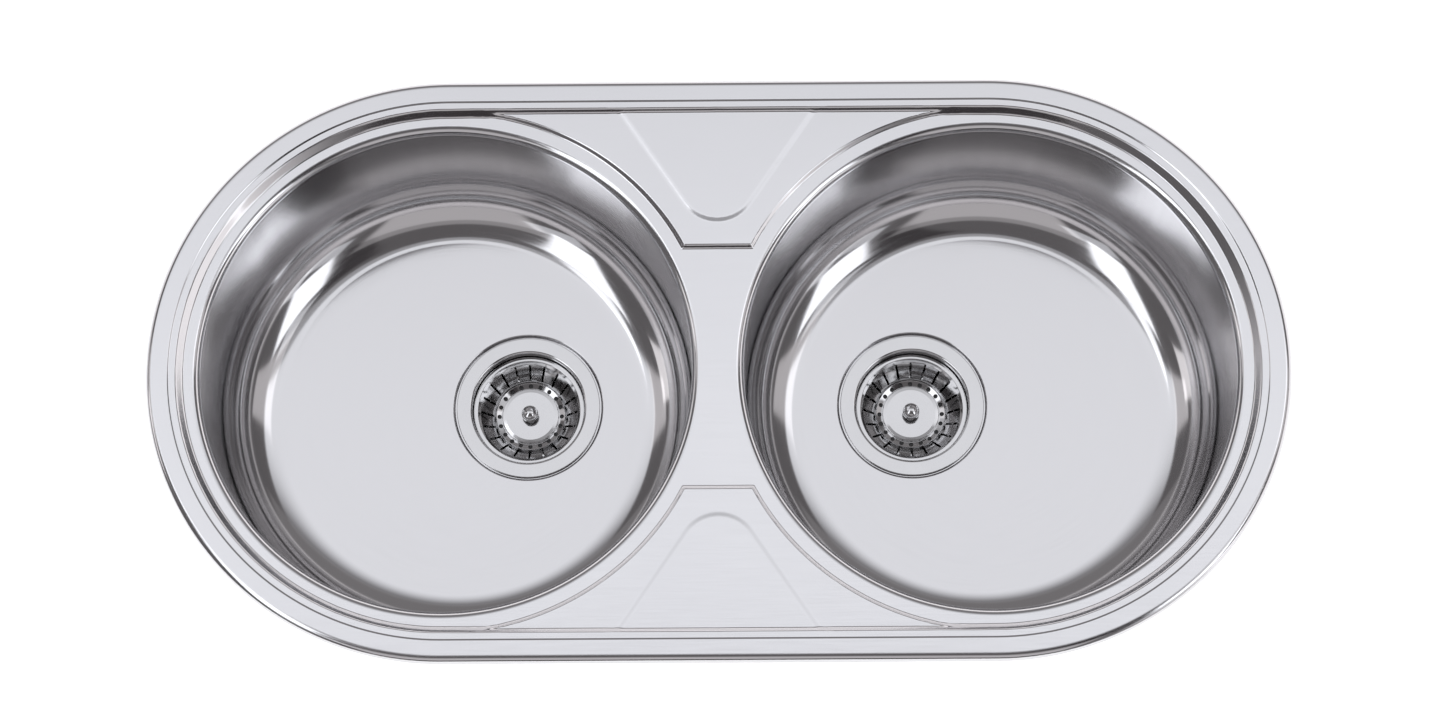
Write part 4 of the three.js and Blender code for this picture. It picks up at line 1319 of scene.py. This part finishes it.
def plug():
    outline = rounded([
        (PLUG_HOLLOW, plug_foot, 0.3), (PLUG_RADIUS - 3.2, plug_foot, 0.4),
        (PLUG_RADIUS - 2.8, plug_foot + 0.6, 0.2), (PLUG_RADIUS - 1.6, plug_foot, 0.3),
        (PLUG_RADIUS, plug_foot + 1.3, 0.5), (PLUG_RADIUS, plug_top, 0.5),
        (DISC_RADIUS - BASKET_SHEET, plug_top, 0.2),
        (DISC_RADIUS - DISC_RISE - 1.0, disc_underside, 0.4), (stem_hole, disc_underside, 0),
        (stem_hole, washer_top, 0), (PLUG_HOLLOW, washer_top, 0.6),
    ], closed=True)
    return smooth(turned("rubber_plug", outline, WASTE_STEPS))


def plug_washer():
    return flat_ring(
        "steel_washer", stem_hole, WASHER_RADIUS, washer_foot, washer_top, (0.15, 0.3), SMALL_STEPS,
    )


def plug_stem():
    bead, bead_foot = 3.2, washer_foot - 0.6
    tip = bead_foot - 4.5
    outline = rounded([
        (0, tip, 0), (STEM_RADIUS / 2, tip, 0.3), (STEM_RADIUS, tip + STEM_RADIUS / 2, 0.4),
        (STEM_RADIUS, bead_foot, 0.1), (bead, bead_foot, 0.25), (bead, washer_foot, 0.1),
        (STEM_RADIUS, washer_foot, 0.1), (STEM_RADIUS, stem_top, 0.2), (0, stem_top, 0),
    ])
    return smooth(turned("steel_stem", outline))


def knob():
    knob_low, knob_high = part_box("basket_knob_right")
    radius = (knob_high.y - knob_low.y) / 2 / MM
    height = (knob_high.z - knob_low.z) / MM
    head_foot = disc_top + height / 2
    outline = rounded([
        (stem_hole, disc_top, 0), (KNOB_NECK + 0.7, disc_top, 0.2), (KNOB_NECK, disc_top + 1.0, 1.0),
        (KNOB_NECK, head_foot - height / 6, 1.0), (radius, head_foot - 0.2, 1.0),
        (radius, head_foot + 1.4, 1.2),
    ])
    crown_steps = 12
    last = outline[-1]
    for step in range(1, crown_steps + 1):
        angle = math.pi / 2 * step / crown_steps
        rise = (disc_top + height - last[1]) * math.sin(angle)
        outline.append((last[0] * math.cos(angle), last[1] + rise))
    outline += [(0, stem_top), (stem_hole, stem_top)]
    return smooth(turned("knob", outline, SMALL_STEPS))


set_in_both_bowls([
    (basket(), polished, "polished_steel", "basket"),
    (plug(), rubber, "rubber", "basket_plug"),
    (plug_washer(), zinc, "fitting_steel", "basket_washer"),
    (plug_stem(), zinc, "fitting_steel", "basket_stem"),
    (knob(), polished, "polished_steel", "basket_knob"),
], lifts_out=True)

# ---- Studio --------------------------------------------------------------------------------
# A white floor below the sink, and a dim room with a soft panel overhead, a long one to either side of the
# camera and fainter ones round them, whose images make the bright patches in the steel. A soft daylight lamp
# lights the dull pieces.
FLOOR_SIZE = 14.0
FLOOR_GAP = 0.02
FLOOR_GLOW = 0.62
FLOOR_GLOW_MIRRORED = 0.3
DAYLIGHT = 1.8
DAYLIGHT_ANGLE = math.radians(120)
ROOM = (0.136, 0.128, 0.132)
COOL_WHITE = (0.97, 0.985, 1.03)
WARM_WHITE = (1.0, 0.965, 0.98)
# Each panel: leans from the zenith to the right and to the back, half sizes and turn, all in degrees, then
# its brightness, which is negative where it darkens the room, and its tint.
PANELS = (
    (0, 4.6, 16, 3, 0, 0.28, COOL_WHITE),
    (-29, -19, 20, 7.5, 61, 1.6, COOL_WHITE),
    (-16, 3, 7, 4, 70, 1.3, COOL_WHITE),
    (-36, -43, 11, 6, 0, 0.5, COOL_WHITE),
    (36, -18, 17, 9.5, -58, 1.55, COOL_WHITE),
    (21, 0, 6, 4, 0, 0.6, COOL_WHITE),
    (45, -44, 10, 7, 0, 0.5, COOL_WHITE),
    (62, -33, 10, 8, 0, 0.6, COOL_WHITE),
    (-2, -50, 26, 22, 0, 0.2, WARM_WHITE),
    (-2, -54, 27, 17, 0, 0.2, WARM_WHITE),
    (18, -21, 20, 5, -65, -0.08, WARM_WHITE),
    (0, -82, 60, 8, 0, -0.09, WARM_WHITE),
    (-59, 5, 9, 8, 0, 0.85, WARM_WHITE),
    (-42, 13, 14, 6, 0, 0.5, WARM_WHITE),
    (36, 9, 21, 7, 0, 0.45, WARM_WHITE),
    (-4, 50, 48, 14, 0, 0.09, WARM_WHITE),
)
PANEL_EDGE = 0.15
# The overhead panel: the leans, in degrees, where it has faded away and where it is full.
OVERHEAD_SIDE = (32, 27)
OVERHEAD_FRONT = (7.4, 8.6)
OVERHEAD_BACK = (42, 12)
OVERHEAD_BRIGHTNESS = 0.9
# The glow low down in the room: its height where it starts and is full, and the side that it stands on.
HORIZON_GLOW = 0.95
HORIZON_HEIGHT = (0.48, 0.3)
HORIZON_SIDE = (0.5, 0.87, 0.0)
HORIZON_SPAN = (-0.75, 0.3)


def studio_floor():
    half = FLOOR_SIZE / 2
    height = cad_low.z - FLOOR_GAP
    corners = [(-half, -half, height), (half, -half, height), (half, half, height), (-half, half, height)]
    floor = mesh_object("studio_floor", corners, [(0, 1, 2, 3)], unit=1.0)
    material, shader, add, links = node_tree("white_floor", 0.0, 0.9)
    path = add("ShaderNodeLightPath")
    mirrored = add("ShaderNodeMath", operation="MULTIPLY")
    mirrored.inputs[1].default_value = FLOOR_GLOW_MIRRORED
    links.new(path.outputs["Is Glossy Ray"], mirrored.inputs[0])
    glow = add("ShaderNodeMath", operation="MULTIPLY_ADD")
    glow.inputs[1].default_value = FLOOR_GLOW
    links.new(path.outputs["Is Camera Ray"], glow.inputs[0])
    links.new(mirrored.outputs["Value"], glow.inputs[2])
    shader.inputs["Emission Color"].default_value = (1, 1, 1, 1)
    links.new(glow.outputs["Value"], shader.inputs["Emission Strength"])
    floor.data.materials.append(material)


def studio_sky():
    """The room that the steel mirrors, painted on a chart of each direction's lean from the zenith."""
    world = bpy.data.worlds.new("studio")
    bpy.context.scene.world = world
    world.use_nodes = True
    nodes, links = world.node_tree.nodes, world.node_tree.links

    def number(operation, *values, kind="ShaderNodeMath", result="Value"):
        """One step of reckoning, fed with constants or with other nodes' sockets."""
        node = nodes.new(kind)
        node.operation = operation
        for index, value in enumerate(values):
            if isinstance(value, bpy.types.NodeSocket):
                links.new(value, node.inputs[index])
            else:
                node.inputs[index].default_value = value
        return node.outputs[result]

    def vector(operation, *values, result="Vector"):
        return number(operation, *values, kind="ShaderNodeVectorMath", result=result)

    def scaled(source, factor):
        product = vector("SCALE", source)
        links.new(factor, product.node.inputs["Scale"])
        return product

    def split(source):
        parts = nodes.new("ShaderNodeSeparateXYZ")
        links.new(source, parts.inputs["Vector"])
        return parts.outputs

    def eased(source, zero_at, full_at, top=1.0):
        """Rises smoothly from nothing to `top` between two values."""
        node = nodes.new("ShaderNodeMapRange")
        node.interpolation_type = "SMOOTHSTEP"
        node.inputs["From Min"].default_value = zero_at
        node.inputs["From Max"].default_value = full_at
        node.inputs["To Max"].default_value = top
        links.new(source, node.inputs["Value"])
        return node.outputs["Result"]

    def eased_lean(source, zero_at, full_at, top=1.0):
        return eased(source, math.radians(zero_at), math.radians(full_at), top)

    direction = nodes.new("ShaderNodeTexCoord").outputs["Generated"]
    height = split(direction)["Z"]
    heading = vector("NORMALIZE", vector("MULTIPLY", direction, (1, 1, 0)))
    chart = scaled(heading, number("ARCCOSINE", height))
    light = ROOM
    for right, back, half_long, half_wide, turn, brightness, tint in PANELS:
        panel = nodes.new("ShaderNodeMapping")
        panel.vector_type = "TEXTURE"
        panel.inputs["Location"].default_value = (math.radians(right), math.radians(back), 0)
        panel.inputs["Rotation"].default_value = (0, 0, math.radians(turn))
        panel.inputs["Scale"].default_value = (math.radians(half_long), math.radians(half_wide), 1)
        links.new(chart, panel.inputs["Vector"])
        sides = split(vector("ABSOLUTE", panel.outputs["Vector"]))
        reach = number("MAXIMUM", sides["X"], sides["Y"])
        mask = eased(reach, 1 + PANEL_EDGE / 2, 1 - PANEL_EDGE / 2, brightness)
        light = vector("ADD", light, scaled(tint, mask))
    lean = split(chart)
    overhead = eased_lean(number("ABSOLUTE", lean["X"]), *OVERHEAD_SIDE, OVERHEAD_BRIGHTNESS)
    for span in (OVERHEAD_FRONT, OVERHEAD_BACK):
        overhead = number("MULTIPLY", overhead, eased_lean(lean["Y"], *span))
    light = vector("ADD", light, scaled(COOL_WHITE, overhead))
    low_down = eased(height, *HORIZON_HEIGHT, HORIZON_GLOW)
    facing = vector("DOT_PRODUCT", heading, HORIZON_SIDE, result="Value")
    glow = number("MULTIPLY", low_down, eased(facing, *HORIZON_SPAN))
    light = vector("ADD", light, scaled(WARM_WHITE, glow))
    path = nodes.new("ShaderNodeLightPath")
    seen = nodes.new("ShaderNodeMix")
    seen.data_type = "RGBA"
    links.new(path.outputs["Is Camera Ray"], seen.inputs["Factor"])
    links.new(light, seen.inputs["A"])
    seen.inputs["B"].default_value = (1, 1, 1, 1)
    links.new(seen.outputs["Result"], nodes["Background"].inputs["Color"])


def soft_daylight():
    """Even light from above for the dull pieces; the steel mirrors the panels alone."""
    lamp = bpy.data.lights.new("soft_daylight", "SUN")
    lamp.energy = DAYLIGHT
    lamp.angle = DAYLIGHT_ANGLE
    lamp_object = bpy.data.objects.new("soft_daylight", lamp)
    bpy.context.scene.collection.objects.link(lamp_object)
    lamp_object.visible_glossy = False


studio_floor()
studio_sky()
soft_daylight()
bpy.context.scene.view_settings.view_transform = "Standard"
